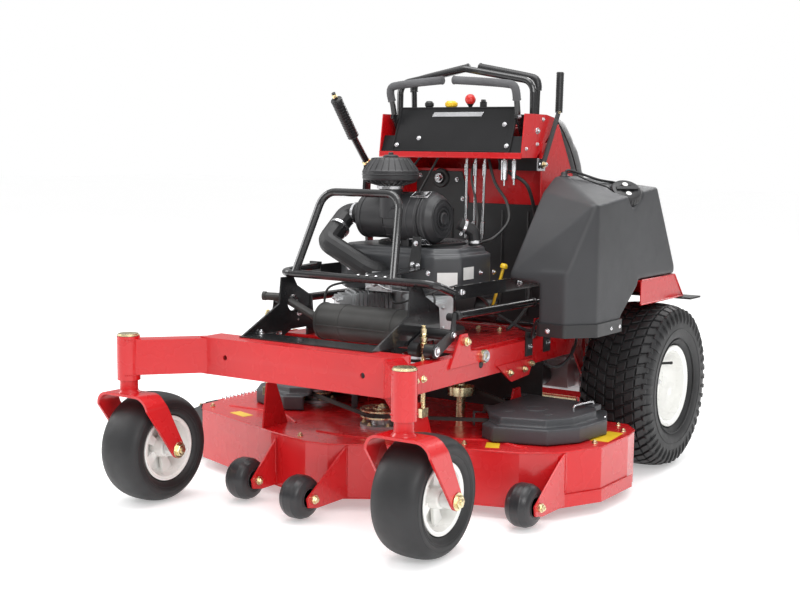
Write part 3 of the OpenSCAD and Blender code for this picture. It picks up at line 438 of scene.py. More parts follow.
def drive_tyre(s, side):
    c = hub(DRIVE_WHEEL, s)
    body = "drive_wheel_" + side
    b = Build()
    crown = [(r - 9, x * 0.985) for r, x in superellipse(150, 278, 125) if r > 200]
    b.hoop(c, X, tyre_section([(129, 88), (139, 92), (150, 108), (178, 122)], crown), 96)
    # moulded rings on the sidewall
    for x in (-1, 1):
        for r, w in ((160, 117.0), (196, 123.0)):
            ring = [(r - 2.5, w - 3), (r - 1, w + 1.4), (r + 1, w + 1.4), (r + 2.5, w - 3)]
            b.hoop(c, X, [(q, x * z) for q, z in ring], 96)
    # staggered turf blocks in seven rows: offset along the axle, width and stagger
    count = 46
    for x0, width, stagger in ((-100, 30, 0.0), (-66, 29, 0.5), (-33, 28, 0.0), (0, 27, 0.5),
                               (33, 28, 0.0), (66, 29, 0.5), (100, 30, 0.0)):
        shoulder = abs(x0) > 90
        for k in range(count):
            a0 = 2 * pi * (k + stagger) / count
            span = 2 * pi / count * 0.72
            skew = 0.22 * span * (1 if x0 > 0 else -1 if x0 < 0 else 0)
            loops = []
            for depth, f in ((-11, 1.06), (-1.6, 1.0), (0, 0.9)):
                ring = []
                for ux, ua in ((-1, -1), (-1, 0), (-1, 1), (1, 1), (1, 0), (1, -1)):
                    x = x0 + ux * width / 2 * f
                    a = a0 + ua * span / 2 * f + skew * ux
                    rr = 277.6 - 17.0 * (abs(x) / 118) ** 3.2 + depth
                    if shoulder and ux * x0 > 0:
                        rr -= 7
                    ring.append(c + V(x, rr * sin(a), rr * cos(a)) / 1000)
                loops.append(ring)
            b.rings(loops)
    # shoulder lugs running down the sidewall
    for x in (-1, 1):
        for k in range(count):
            a0 = 2 * pi * (k + 0.5) / count
            loops = []
            for r, w, half in ((262, 112, 0.036), (246, 121.5, 0.033), (228, 125.6, 0.028), (214, 123, 0.02)):
                ring = []
                for ua, out in ((-1, 0), (1, 0), (0.8, 1), (-0.8, 1)):
                    a = a0 + ua * half
                    q = c + V(x * (w - 5 + 6 * out), (r + out) * sin(a), (r + out) * cos(a)) / 1000
                    ring.append(q)
                loops.append(ring)
            b.rings(loops)
    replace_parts(b.done("drive_tyre_tread_" + side, TYRE, body, 0, 32), "drive_tyre_" + side)

    # wheel bolts, cap and valve on the dished rim
    for a in turns(5, 0.25):
        b.bolt(c + V(s * 29, 0, 0) / 1000 + V(0, sin(a), cos(a)) * 0.046, X * s, 9, 9)
    b.lathe(c + V(s * 0.024, 0, 0), X * s, [(22, 0), (22, 9), (19, 14), (8, 17), (0.1, 17)], 28)
    b.done("wheel_bolts_" + side, BRIGHT, body)

    v = c + V(s * 0.034, 0.062, 0.062)
    stem_end = v + V(s * 0.03, 0.004, 0.004)
    b.rod(v, stem_end, 4.5, 12)
    b.rod(stem_end, v + V(s * 0.04, 0.005, 0.005), 5.2, 12)
    b.done("valve_" + side, HOSE, body)

    # outer dish with a rolled lip, as the rim shows it
    dish = [(137, 98), (139, 101), (136, 103), (131, 101), (126, 94), (121, 84), (117, 62), (112, 44),
            (98, 34), (80, 31), (66, 34), (56, 33), (30, 32),
            (30, 29), (56, 29), (66, 30), (80, 27), (100, 30), (115, 41), (121, 62), (124, 84), (130, 95)]
    b.hoop(c, X, [(r, z * s) for r, z in dish], 96)
    b.done("rim_dish_" + side, WHITE, body, 0, 40)


def caster_tyre(s, side):
    c = hub(CASTER_WHEEL, s)
    body = "caster_wheel_" + side
    fork = "swivel_" + side
    b = Build()
    crown = [p for p in superellipse(92, 164.6, 73.5, 40, 0.78) if p[0] > 118]
    b.hoop(c, X, tyre_section([(93, 51), (99, 53), (104, 64), (112, 69)], crown), 128)
    for x in (-1, 1):
        for r, w in ((118, 71.3), (124, 72.6), (138, 72.6)):
            b.hoop(c, X, [(r - 1.2, x * (w - 2)), (r, x * (w + 0.9)), (r + 1.2, x * (w - 2))], 96)
    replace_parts(b.done("caster_tyre_form_" + side, TYRE, body, 0, 50), "caster_tyre_" + side)

    # pressed rim halves with hand holes between the spokes, and grease cap
    lip = [(96, 55), (98.5, 58), (98, 62), (94, 63), (90, 60), (87, 50), (84, 38), (80, 30),
           (80, 27), (86, 34), (90, 48), (93, 55)]
    spoke = ((0.026, 0.011), (0.082, 0.020), (0.082, -0.020), (0.026, -0.011))
    for x in (-1, 1):
        b.hoop(c, X, [(r, z * x) for r, z in lip], 96)
        for k in range(5):
            a = 2 * pi * k / 5 + 0.3
            rad, tan = V(0, sin(a), cos(a)), V(0, cos(a), -sin(a))
            o = c + V(x * 0.030, 0, 0)
            b.plate([o + rad * i + tan * j for i, j in spoke], V(-x * 0.010, 0, 0))
        b.lathe(c, X, [(28, 8 * x), (31, 24 * x), (30, 40 * x), (27, 56 * x), (24, 57 * x)], 48)
    b.done("caster_rim_spokes_" + side, WHITE, body, 0.8, 40)

    b.rod(c + V(s * 0.03, 0.03, 0.075), c + V(s * 0.062, 0.033, 0.082), 3.6, 12)
    b.done("caster_valve_" + side, HOSE, body)

    # axle nuts, dust cap and grease nipple on the fork
    for x in (-1, 1):
        b.bolt(c + V(x * 0.1055, 0, 0), X * x, 18, 9.5)
    b.lathe(P(CASTER_X * s, 0, 512), Z, [(30.5, 0), (33, 1), (33, 3), (28, 5), (26, 6.5), (14, 8.5), (12, 8),
                            (0.1, 8)], 48)
    b.done("fork_nuts_" + side, ZINC, fork)

    for x in (-1, 1):
        b.lathe(c + V(x * 0.060, 0, 0), X * x, [(20, 0), (22, 4), (22, 30), (19, 35)], 32)
    b.done("hub_spacers_" + side, LABEL, fork)

    # welded collar between the fork's crown and its stem
    b.lathe(P(CASTER_X * s, 0, 342), Z, [(34, 0), (33, 4), (28, 8), (27, 12), (26.3, 38)], 48)
    b.done("fork_weld_" + side, RED, fork, 0, 60)


for s, side in SIDES:
    drive_tyre(s, side)
    caster_tyre(s, side)

# ---------------------------------------------------------------- softly moulded parts
copy_of("fuel_tank", "fuel_tank_moulding", TANK, "chassis", 0.005, 10)
for s, side in SIDES:
    copy_of("belt_cover_" + side, "belt_cover_moulding_" + side, COVER, "deck", 0.004, 4)
copy_of("engine_shroud", "engine_shroud_moulding", SHROUD, "chassis", 0.005, 8)

# ---------------------------------------------------------------- frame, guard and lift hardware
b = Build()
for s, side in SIDES:
    sx = X * s
    b.bolt(P(364 * s, 508, 512), sx, 10, 8)
    for y, z in ((770, 384), (860, 384), (905, 396)):
        b.bolt(P(362 * s, y, z), sx, 8, 7)
    for y, z in ((1330, 430), (1480, 430), (1330, 232), (1480, 232), (1400, 196)):
        b.bolt(P(356 * s, y, z), sx, 8, 7)
    for y, z in ((1180, 540), (1440, 540), (1150, 720), (1290, 800)):
        b.bolt(P(285 * s, y, z), sx, 7, 6)
    for y, z in ((262, 430), (300, 430)):
        b.bolt(P(350 * s, y, z), sx, 8, 7)
    for y in (1220, 1420):
        b.bolt(P(330 * s, y, 604), Z, 7, 6)
    b.bolt(P(321 * s, 1030, 515), sx, 6, 5)
for x in (-200, -120, 120, 200):
    b.bolt(P(x, 980, 478), Z, 8, 7)
b.done("frame_bolts", ZINC, "chassis", 0, 30)

for s, side in SIDES:
    b.hoop(P(364.5 * s, 612, 456), X * s, [(8, 0), (17, 0), (18, 2), (18, 5), (16, 7), (11, 7), (9, 5)], 40)
b.done("rail_bushes", STEEL, "chassis", 0, 40)

# black plugs, rail end caps and clamps
for s, side in SIDES:
    b.rod(P(309 * s, 612, 430), P(352 * s, 612, 430), 12)
    b.block(P(312 * s, 1540, 392), P(348 * s, 1544, 468))
b.done("frame_plugs", PLASTIC, "chassis", 1)

# weld beads where the frame's plates meet
for s, side in SIDES:
    bead(b, P(345 * s, 241, 399), P(345 * s, 241, 501))
    bead(b, P(350.5 * s, 430, 440), P(350.5 * s, 640, 440))
    bead(b, P(311 * s, 241, 470), P(349 * s, 241, 470))
    bead(b, P(351 * s, 1290, 470), P(351 * s, 1530, 470))
    for z in (398, 502):
        for t in turns(40):
            p = P(CASTER_X * s, 0, z) + ray(t) * 0.0345
            if (p - P(345 * s, 150, z)).length < 0.225:
                b.lathe(p, (-sin(t), cos(t), 0), [(1.2, -2.6), (2.3, 0), (1.2, 2.6)], 8)
b.done("frame_welds", RED, "chassis", 0, 70)

# bolts on the guard and its plates
for x, y, z, d in ((312, 560, 648, X), (312, 900, 648, X), (312, 1100, 648, X), (-291, 640, 670, -X),
                   (-291, 1090, 670, -X),
                   (-236, 478, 552, X), (236, 470, 620, -X), (-230, 290, 509, Z), (230, 290, 509, Z)):
    b.bolt(P(x, y, z), d, 7.5, 6.5)
for x in (-20, 12, 45, 78):
    b.lathe(P(x + 60, 414, 693), Z, [(6, 0), (6, 1.2), (4, 3), (0.1, 3.2)], 16)
b.done("guard_bolts", BRIGHT, "chassis", 0, 30)

# black plate with three bolts between the guard and the engine
b.plate([P(84, 612, 700), P(128, 612, 700), P(128, 616, 800), P(98, 616, 800)], V(0, 0.004, 0))
b.plate([P(60, 420, 694), P(150, 420, 694), P(146, 612, 702), P(90, 612, 702)], V(0, 0, 0.004))
b.done("engine_bracket", BLACK, "chassis", 0.8)

for x, z in ((100, 715), (120, 712), (112, 780)):
    b.bolt(P(x, 612, z), -Y, 6, 5)
b.done("engine_bracket_bolts", BRIGHT, "chassis", 0, 30)

# nuts and threads of the height rods, and the caps on the bellcranks' bushes
for s, side in SIDES:
    x = ROD_X * s
    for z0, r, h in ((520, 11, 11), (534, 10, 9), (545, 8.5, 10)):
        b.bolt(P(x, ROD_Y, z0), Z, r, h, False, 0.3 + z0, True)
    b.lathe(P(x, ROD_Y, 504), Z, [(9, 0), (10.5, 2), (10.5, 12), (8, 15)], 20)
    for z in range(330, 484, 4):
        b.lathe(P(x, ROD_Y, z), Z, [(6.2, 0), (7.1, 1.2), (7.1, 2.2), (6.2, 3.6)], 16)
    b.bolt(P(x, ROD_Y, 560), Z, 6, 5, False, 0.3, True)
b.done("height_rod_nuts", BRASS, "deck", 0, 35)

for s, side in SIDES:
    for x in (245.6, 336.4):
        out = X * s * (1 if x > 300 else -1)
        b.lathe(P(x * s, BELL_Y, BELL_Z), out, [(15, 0), (15, 1.5), (11, 2.2), (10, 1.6), (0.1, 1.6)], 28)
        b.bolt(P(x * s, 475, 532), out, 8, 6)
b.done("bellcrank_caps", BRIGHT, "lift_bellcranks", 0, 35)

for s, side in SIDES:
    for y in (484, 1036):
        b.lathe(P(326 * s, y, 583 if y < 900 else 580), X * s,
                [(11, -14), (11.5, -12), (11.5, 4), (9, 6), (4, 6)], 24)
    b.rod(P(318 * s, 516, 583), P(318 * s, 536, 583), 14.5)
    b.rod(P(318 * s, 972, 580.2), P(318 * s, 992, 580), 14.5)
b.done("link_ends", SATIN, "lift_links", 0.6)

# ---------------------------------------------------------------- engine
# head covers, fins and plug bosses; outlines go across a cylinder and up, in metres
FIN = ((-0.072, 0.500), (0.072, 0.500), (0.074, 0.506), (0.074, 0.610),
       (0.066, 0.620), (-0.066, 0.620), (-0.074, 0.610), (-0.074, 0.506))
HEAD_COVER = ((-0.046, 0.514), (0.046, 0.514), (0.05, 0.52), (0.05, 0.592),
              (0.044, 0.6), (-0.044, 0.6), (-0.05, 0.592), (-0.05, 0.52))
FINS, FIRST_FIN, FIN_PITCH = 9, 0.112, 0.0135
COVER_IN, COVER_OUT = 0.2585, 0.2705


def bank(s):
    """Where a cylinder points, in the engine's vee of 84 degrees."""
    t = radians(-90 + s * 42)
    return ray(t), V(-sin(t), cos(t), 0)


for s in (-1, 1):
    d, w = bank(s)
    o = P(0, 800, 0)
    for i in range(FINS):
        r = FIRST_FIN + i * FIN_PITCH
        b.plate([o + d * r + w * k + Z * z for k, z in FIN], d * 0.0035)
    b.plate([o + d * COVER_IN + w * k + Z * z for k, z in HEAD_COVER], d * 0.012)
    for k in (-0.036, 0.036):
        for z in (0.526, 0.588):
            b.bolt(o + d * COVER_OUT + w * k + Z * z, d, 5, 5)
    b.lathe(o + d * COVER_OUT + Z * 0.557, d, [(15, 0), (14, 3), (9, 4), (9, 8), (4, 9)], 20)
b.done("cylinder_head_fins", ALLOY, "chassis", 0, 30)

# oil filter with its grip flutes
filter_end = P(150, 905, 560)
u, v, d = basis(V(0.92, 0.39, -0.1))
b.lathe(filter_end, d, [(34, 0), (38, 4), (38, 66), (35, 72), (20, 75), (0.1, 75)], 40)
for t in turns(12):
    p = filter_end + d * 0.052 + (u * cos(t) + v * sin(t)) * 0.0375
    b.rod(p, p + d * 0.02, 2.4, 8)
b.done("oil_filter", PLASTIC, "chassis", 0, 40)

# plug leads and wires
for s in (-1, 1):
    d = bank(s)[0]
    o = P(0, 800, 557) + d * 0.279
    b.sweep([o, o + d * 0.022, o + d * 0.03 + Z * 0.03, o + d * 0.006 + Z * 0.075, P(80 * s, 640, 655)], 3.6,
            10)
    b.rod(o - d * 0.001, o + d * 0.02, 7.5)
b.sweep([P(60, 600, 700), P(40, 585, 640), P(70, 560, 600), P(130, 560, 612), P(200, 590, 640),
         P(232, 660, 655)], 3.4, 10)
b.sweep([P(236, 700, 640), P(262, 760, 610), P(250, 840, 560), P(236, 900, 540)], 5.5, 10)
b.done("engine_leads", WIRE, "chassis", 0, 60)

# dipstick, carburettor block, governor arm and spring
b.rod(P(215, 900, 560), P(252, 905, 690), 5)
b.lathe(P(252, 905, 690), V(0.25, 0.03, 0.95), [(6, 0), (12, 3), (12, 12), (9, 16), (0.1, 17)], 24)
b.done("dipstick", YELLOW, "chassis", 0, 50)

b.block(P(-40, 560, 630), P(60, 610, 690)).block(P(-25, 548, 640), P(30, 562, 676))
for x, z in ((-32, 638), (52, 638), (-32, 682), (52, 682)):
    b.bolt(P(x, 560, z), -Y, 5, 5)
b.rod(P(0, 540, 660), P(60, 540, 640), 2.5).rod(P(60, 540, 640), P(120, 570, 634), 2)
b.lathe(P(10, 536, 658), -Y, [(11, -12), (12, 0), (8, 6), (3, 7)], 20)
for k in range(14):
    t = k / 14
    b.lathe(P(64 + 50 * t, 546 + 18 * t, 652 - 6 * t), V(50, 18, -6), [(3.2, -1), (4.4, 0), (3.2, 1)], 12)
b.done("carburettor", ALLOY, "chassis", 0.8, 40)

# screen and ribs on the cooling cover
fan, spokes = P(0, FAN_Y, 764), P(0, FAN_Y, 768)
for k in range(9):
    r = 0.030 + k * 0.0125
    section = ((r - 0.0018, 0), (r - 0.0012, 0.007), (r + 0.0012, 0.007), (r + 0.0018, 0))
    b.rings([[fan + V(cos(t) * q, sin(t) * q, z) for t in turns(64)] for q, z in section])
for t in turns(12):
    d = ray(t)
    b.bar([spokes + d * 0.02, spokes + d * 0.136], 2.4, 8)
b.lathe(P(0, FAN_Y, 762), Z, [(138, 0), (144, 2), (144, 9), (138, 12), (134, 9), (134, 0)], 72)
b.lathe(fan, Z, [(24, 0), (24, 9), (20, 12), (0.1, 13)], 32)
b.done("cooling_screen", ENGINE, "chassis", 0, 40)

for x, y, z, d in ((-150, 624, 690, -Y), (150, 624, 690, -Y), (230, 800, 684, X), (230, 880, 680, X),
                   (-230, 720, 680, -X), (-230, 880, 680, -X)):
    b.bolt(P(x, y, z), d, 6, 5)
b.done("cover_bolts", BRIGHT, "chassis", 0, 30)

b.plate([P(230.6, 698, 668), P(230.6, 758, 668), P(230.6, 758, 706), P(230.6, 698, 706)], V(0.0006, 0, 0))
b.plate([P(177, 632.6, 636), P(222, 677.6, 636), P(222, 677.6, 692), P(177, 632.6, 692)],
        V(0.0005, -0.0005, 0))
b.done("plain_stickers_engine", LABEL, "chassis")


# air cleaner: bands, end cap rings, clips; precleaner ribs; hose clamps
def cleaner(x):
    return P(x, CLEANER_Y, CLEANER_Z)


for x, r in ((-132, 68.5), (-118, 69.5), (-30, 69.5), (38, 79), (66, 81), (100, 78.5), (113, 82)):
    b.lathe(cleaner(x), X, [(r - 3, -3), (r, -2), (r + 1, 0), (r, 2), (r - 3, 3)], 72)
for r in (58, 46, 30):
    b.lathe(cleaner(151 if r < 50 else 150), X, [(r - 3, -2), (r - 2, 3.2), (r + 2, 3.2), (r + 3, -2)], 56)
b.lathe(cleaner(150), X, [(20, 0), (20, 7), (16, 10), (8, 8), (0.1, 8)], 32)
for t in turns(16):
    d = V(0, sin(t), cos(t))
    b.bar([cleaner(-22) + d * 0.0775, cleaner(28) + d * 0.0785], 1.8, 8)
for x in (20, 56):
    b.block(P(x - 3, 650, 766), P(x + 3, 750, 800))
b.done("air_cleaner_ribs", ENGINE, "chassis", 0, 40)
CLIP_WIRE = ((-0.03, 0.016), (0.03, 0.016), (0.03, -0.016), (-0.03, -0.016), (-0.03, 0.016))
CLIP_PLATE = ((-0.012, 0.011), (0.02, 0.011), (0.02, -0.011), (-0.012, -0.011))

for angle in (-58, 62, 180):
    t = radians(angle)
    d = V(0, -cos(t), sin(t))
    w = V(0, sin(t), cos(t))
    o = cleaner(98) + d * 0.084
    b.bar([o + w * j + X * i for i, j in CLIP_WIRE], 1.7, 8)
    b.plate([o + X * i + w * j for i, j in CLIP_PLATE], d * 0.003)
for c, d, r in ((P(-176, 700, 858), X, 34.5), (P(-203, 640, 812), V(0, 0.7, 0.5), 34.5),
                (P(186, 771, 829), V(0.7, 0.7, -0.35), 21.5),
                (P(208, 800, 780), Z, 21.5), (P(BOWL_X, BOWL_Y, 946), Z, 39.2)):
    b.lathe(c, d, [(r - 1, -4.5), (r + 0.8, -4.5), (r + 0.8, 4.5), (r - 1, 4.5)], 48)
    u, v = basis(d)[:2]
    b.bolt(c + v * ((r + 5) / 1000) - u * 0.006, u, 4, 5)
b.done("clamps_and_clips", BRIGHT, "chassis", 0, 40)

for r, z in ((87.5, 36), (89, 46), (87.5, 56)):
    b.lathe(P(BOWL_X, BOWL_Y, BOWL_Z + z), Z, [(r - 2, -3), (r + 1.4, 0), (r - 2, 3)], 72)
o = P(BOWL_X, BOWL_Y, BOWL_Z)
for t in turns(24):
    d = ray(t)
    b.bar([o + d * 0.058 + Z * 0.0965, o + d * 0.0845 + Z * 0.0625, o + d * 0.0885 + Z * 0.052], 1.6, 6)
    b.bar([o + d * 0.042 + Z * 0.014, o + d * 0.062 + Z * 0.0195, o + d * 0.08 + Z * 0.026], 2.6, 6)
b.lathe(P(BOWL_X, BOWL_Y, 1039), Z, [(24, 0), (24, 4), (18, 8), (8, 9), (8, 14), (5, 16), (0.1, 16)], 32)
b.done("precleaner_ribs", ENGINE, "chassis", 0, 40)

# muffler: end seams, hanger straps, spark screen
for x in (-143, 213):
    b.lathe(P(x, MUFFLER_Y, MUFFLER_Z), X, [(55, -5), (58, -3), (58.4, 0), (58, 3), (55, 5)], 72)
for x in (-61, 131):
    b.lathe(P(x, MUFFLER_Y, MUFFLER_Z), X, [(55, -9), (57.2, -8), (57.2, 8), (55, 9)], 72)
b.lathe(P(225, MUFFLER_Y, MUFFLER_Z), X, [(40, 0), (38, 3), (30, 1.5), (12, 2.5), (0.1, 3)], 48)
b.sweep([P(-135, 434.5, 528), P(-25, 434, 528), P(205, 434.5, 528)], 2, 8)
b.lathe(P(-316, 405, 606.5), V(-0.95, -0.3, 0), [(12.4, -8), (14, -7), (14, 3), (12.2, 4), (10.5, 3),
                        (10.5, -5)], 28)
b.lathe(P(-160, 503, 528), V(-0.74, -0.5, 0.5), [(21, -8), (19, 2), (14, 7), (13, 10)], 28)
b.done("muffler_seams", MUFFLER, "chassis", 0, 40)

# ---------------------------------------------------------------- console
GRIP_LINE = {
    "rear": ((241, 1122, 1180), (243, 1122, 1250), (244, 1122, 1278), (236, 1122, 1296), (208, 1122, 1305),
             (120, 1122, 1322), (24, 1122, 1340)),
    "front": ((241, 998, 1180), (242, 990, 1214), (244, 979, 1250), (236, 975, 1270), (208, 972, 1276.5),
              (120, 964.5, 1284), (24, 958, 1290)),
}
LEVER_PLATE = ((984, 1168), (1000, 1150), (1046, 1068), (1062, 1062), (1078, 1068),
               (1120, 1150), (1136, 1168), (1136, 1180), (984, 1180))


def grip_path(s, end):
    """Centre line of a control lever's bent bar."""
    return spline([P(x * s, y, z) for x, y, z in GRIP_LINE[end]], 6)


for s, side in SIDES:
    body = "control_lever_" + side

    b.plate([P(236 * s, y, z) for y, z in LEVER_PLATE], X * 0.01 * s)
    for end in GRIP_LINE:
        b.bar(grip_path(s, end)[:10], 9.5, 18)
    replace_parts(b.done("lever_frame_" + side, BLACK, body, 1.2), "control_lever_" + side)
    for end, mat in (("front", FOAM), ("rear", PLASTIC)):
        path = grip_path(s, end)[8:]

        b.bar(path, 13.2, 24, ribs=(9.0, 0.35))
        b.lathe(path[-1], path[-1] - path[-2], [(13.4, -3), (14.4, -1), (14.4, 2), (12, 4.5), (0.1, 5)], 28)
        b.lathe(path[0], path[0] - path[1], [(12.6, -3), (14, -2), (14, 1.5), (10, 2)], 28)
        b.done(end + "_grip_" + side, mat, body, 0, 50)

    b.bolt(P(246 * s, *LEVER_PIN), X * s, 9, 7)
    for y in (998, 1122):
        b.bolt(P(246 * s, y, 1172), X * s, 6, 5)
    b.done("lever_bolts_" + side, STEEL, body, 0, 30)

# rounded face panel with folded edges, plain strip and bolts
b.plate([P(-230, 968.6, 1058), P(230, 968.6, 1058), P(230, 1025, 1202), P(-230, 1025, 1202)],
        V(0, 0.001, -0.0004))
for x in (-228, 228):
    b.bar([P(x, 969, 1060), P(x, 1025, 1202)], 3.2, 10)
b.bar([P(-228, 1026, 1202), P(228, 1026, 1202)], 3.6, 10)
b.bar([P(-228, 969, 1059), P(228, 969, 1059)], 3.6, 10)
b.done("panel_folds", PANEL, "chassis", 0, 40)

# rolled red lip below the panel
b.plate([P(-276, 961.5, 1039), P(276, 961.5, 1039), P(276, 961.5, 1057), P(-276, 961.5, 1057)],
        V(0, -0.0018, 0))
b.bar([P(-276, 962, 1040), P(276, 962, 1040)], 3.0, 10)
b.done("console_lip", RED, "chassis", 0.6, 40)
PANEL_OUT = V(0, -0.93, 0.363)


def on_panel(x, t):
    """A point on the sloping panel, t of the way up."""
    return P(x, 968.6 + 56.4 * t, 1058 + 144 * t) + PANEL_OUT * 0.0006


b.plate([on_panel(-96, 0.80), on_panel(96, 0.80), on_panel(102, 0.9), on_panel(-90, 0.9)], PANEL_OUT * 0.0012)
b.done("panel_strip", BRIGHT, "chassis", 0.3)

for x, t in ((-214, 0.14), (214, 0.14), (-130, 0.3), (190, 0.62)):
    b.bolt(on_panel(x, t), PANEL_OUT, 6, 5)
for s in (-1, 1):
    for y, z in ((1100, 1166), (990, 1070), LEVER_PIN):
        b.bolt(P(278 * s, y, z), X * s, 5, 4)
    b.bolt(P(285 * s, 1108, 1020), X * s, 7, 6).bolt(P(278 * s, 1062, 1128), X * s, 8, 6)
b.done("console_bolts", BRIGHT, "chassis", 0, 30)

# meter, switch collars, lever gate
b.lathe(P(150, 1060, CONSOLE_TOP), V(0, METER_TILT, 1), [(31, 0), (31, 5), (28, 7), (27, 5), (0.1, 5)], 48)
for x, profile in ((84, [(14, 0), (14, 4), (10, 6), (8, 5), (8, 0)]),
                   (-41, [(18, 0), (18, 5), (13, 8), (8, 8), (8, 0)]),
                   (-129, [(12, 0), (12, 4), (8, 6), (6, 6), (6, 0)])):
    b.lathe(P(x, CONTROLS_Y, CONSOLE_TOP), Z, profile, 32)
for x in (22, 52):
    b.block(P(x - 2, 1030, CONSOLE_TOP), P(x + 2, 1104, 1170.5))
b.done("switch_collars", PLASTIC, "chassis", 0.4)

b.lathe(P(150, 1060, 1173.2), V(0, METER_TILT, 1), [(26, 0), (26, 0.6), (0.1, 0.6)], 40)
b.done("meter_face", LABEL, "chassis")
# knurled rims on the knobs, the throttle's collar and the key's grip
for knob, x, r, mat in (("choke", -129, 14, PLASTIC), ("blade_switch", -41, 20, YELLOW)):
    for t in turns(20):
        d = ray(t) * (r / 1000)
        b.rod(P(x, CONTROLS_Y, 1210) + d, P(x, CONTROLS_Y, 1220) + d, 1.3, 8)
    b.done(knob + "_rim", mat, knob, 0, 50)

b.lathe(P(37, 1039.4, 1212), V(0, -0.04, 1), [(6, -6), (9, 0), (12, 3), (6, 5)], 24)
b.done("throttle_collar", PLASTIC, "throttle", 0, 50)

b.lathe(P(84, CONTROLS_Y, 1222), Z, [(0.1, -2), (7, -2), (9, 3), (7, 8), (0.1, 8)], 6)
b.done("key_grip", PLASTIC, "key", 0.6)

# brake lever's grip
handle = [P(BRAKE_X, y, z) for y, z in ((1175, 1190), (1176.5, 1240), (1178, 1290), (1179, 1318))]
b.sweep(handle, 12.2, 22, ribs=(8.0, 0.4))
b.lathe(handle[-1], V(0, 0.03, 1), [(12.6, -3), (13, 0), (11, 3.5), (0.1, 4.5)], 24)
b.done("brake_grip", PLASTIC, "brake_lever", 0, 50)

b.bolt(P(299, 1070, 1020), X, 8, 6).bolt(P(299, 1170, 1192), X, 5, 4)
b.done("brake_bolts", ZINC, "brake_lever", 0, 30)

# lift lever's rubber grip and brass tip
handle = [P(LIFT_X, y, z) for y, z in ((914, 1105.5), (880, 1148), (848, 1188), (820, 1223))]
b.sweep(handle, 19.4, 26, ribs=(11.0, 0.7))
b.lathe(handle[-1], V(0, -0.62, 0.78), [(19.8, -4), (20.4, 0), (17, 5), (8, 7)], 28)
b.done("lift_grip", HOSE, "lift_lever", 0, 50)

b.lathe(P(LIFT_X, 811, 1234), V(0, -0.62, 0.78), [(8, -2), (8.4, 6), (7, 10), (5, 13), (0.1, 15)], 24)
b.lathe(P(LIFT_X, 1000, 1010), V(0, -0.67, 0.74), [(12.5, 0), (15, 3), (15, 16), (12.5, 19)], 24)
b.done("lift_tip", BRASS, "lift_lever", 0, 50)

for y in (1000, 1018):
    b.bolt(P(-347, y, 980), X, 6, 5)
b.bolt(P(-357, 1030, 500), -X, 10, 7)
b.done("lift_bolts", ZINC, "lift_lever", 0, 30)

# dampers and cables below the console
for x, r, h in ((196, 11.5, 62), (232, 7, 58)):
    b.lathe(P(x, 996, 1034), V(0, 0.02, -1), [(4, -4), (4, 0), (r - 0.5, 1), (r, 8), (r, h),
                            (r - 1.5, h + 4), (3.4, h + 5), (3.4, h + 22)], 28)
b.done("dampers", BRIGHT, "chassis", 0, 40)

b.sweep([P(84, 1010, 1052), P(70, 1000, 980), P(96, 986, 900), P(120, 960, 830), P(140, 900, 780)], 4, 10)
b.sweep([P(120, 1016, 1052), P(160, 1000, 960), P(210, 990, 900), P(236, 960, 840), P(222, 900, 790),
         P(180, 880, 770)], 5, 10)
b.sweep([P(-60, 1010, 1050), P(-110, 1000, 960), P(-150, 990, 880), P(-140, 960, 800), P(-150, 900, 772)], 4,
        10)
b.sweep([P(-129, 1010, 1052), P(-190, 1004, 970), P(-230, 1000, 860), P(-240, 980, 760), P(-246, 900, 700),
         P(-240, 800, 690)], 3.6, 10)
b.sweep([P(150, 1016, 1060), P(190, 1020, 1000), P(250, 1040, 960), P(262, 1070, 900), P(255, 1110, 820),
         P(240, 1150, 740)], 6, 12)
b.sweep([P(200, 1170, 700), P(230, 1120, 620), P(262, 1050, 560), P(275, 960, 520), P(285, 880, 500)], 6, 12)
b.done("control_cables", WIRE, "chassis", 0, 60)

for x in (52, 86, 121):
    b.rod(P(x + 1, 995, 980), P(x + 1, 996, 1020), 7)
    b.rod(P(x + 3, 986, 790), P(x + 3, 987, 830), 7)
b.done("rod_ends", BRIGHT, "chassis", 0, 40)

# ---------------------------------------------------------------- tank
cap_dir = V(0.42, -0.42, 0.8).normalized()
cap = P(555, 1145, 922) + cap_dir * 0.0005
cu, cv = basis(cap_dir)[:2]
b.lathe(cap, cap_dir, [(48, 0), (49.5, 2), (49.5, 25), (47, 30), (42, 32), (24, 32.5), (22, 30), (0.1, 30)],
        64)
for t in turns(30):
    d = (cu * cos(t) + cv * sin(t)) * 0.0492
    b.rod(cap + d + cap_dir * 0.004, cap + d + cap_dir * 0.025, 2.2, 8)
b.plate([cap + cap_dir * 0.030 + cu * i + cv * j for i, j in ((-0.036, -0.007), (0.036, -0.007),
                        (0.036, 0.007), (-0.036, 0.007))],
        cap_dir * 0.008)
b.lathe(cap - cap_dir * 0.044, cap_dir, [(18, 0), (20, 2), (20, 44)], 32)
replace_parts(b.done("fuel_cap_form", PLASTIC, "fuel_cap", 0.8), "fuel_cap")

for j in (-0.023, 0.023):
    b.lathe(cap + cap_dir * 0.0315 + cv * j, cap_dir, [(9, 0), (9, 1.4), (0.1, 1.4)], 32)
b.done("fuel_cap_discs", LABEL, "fuel_cap")

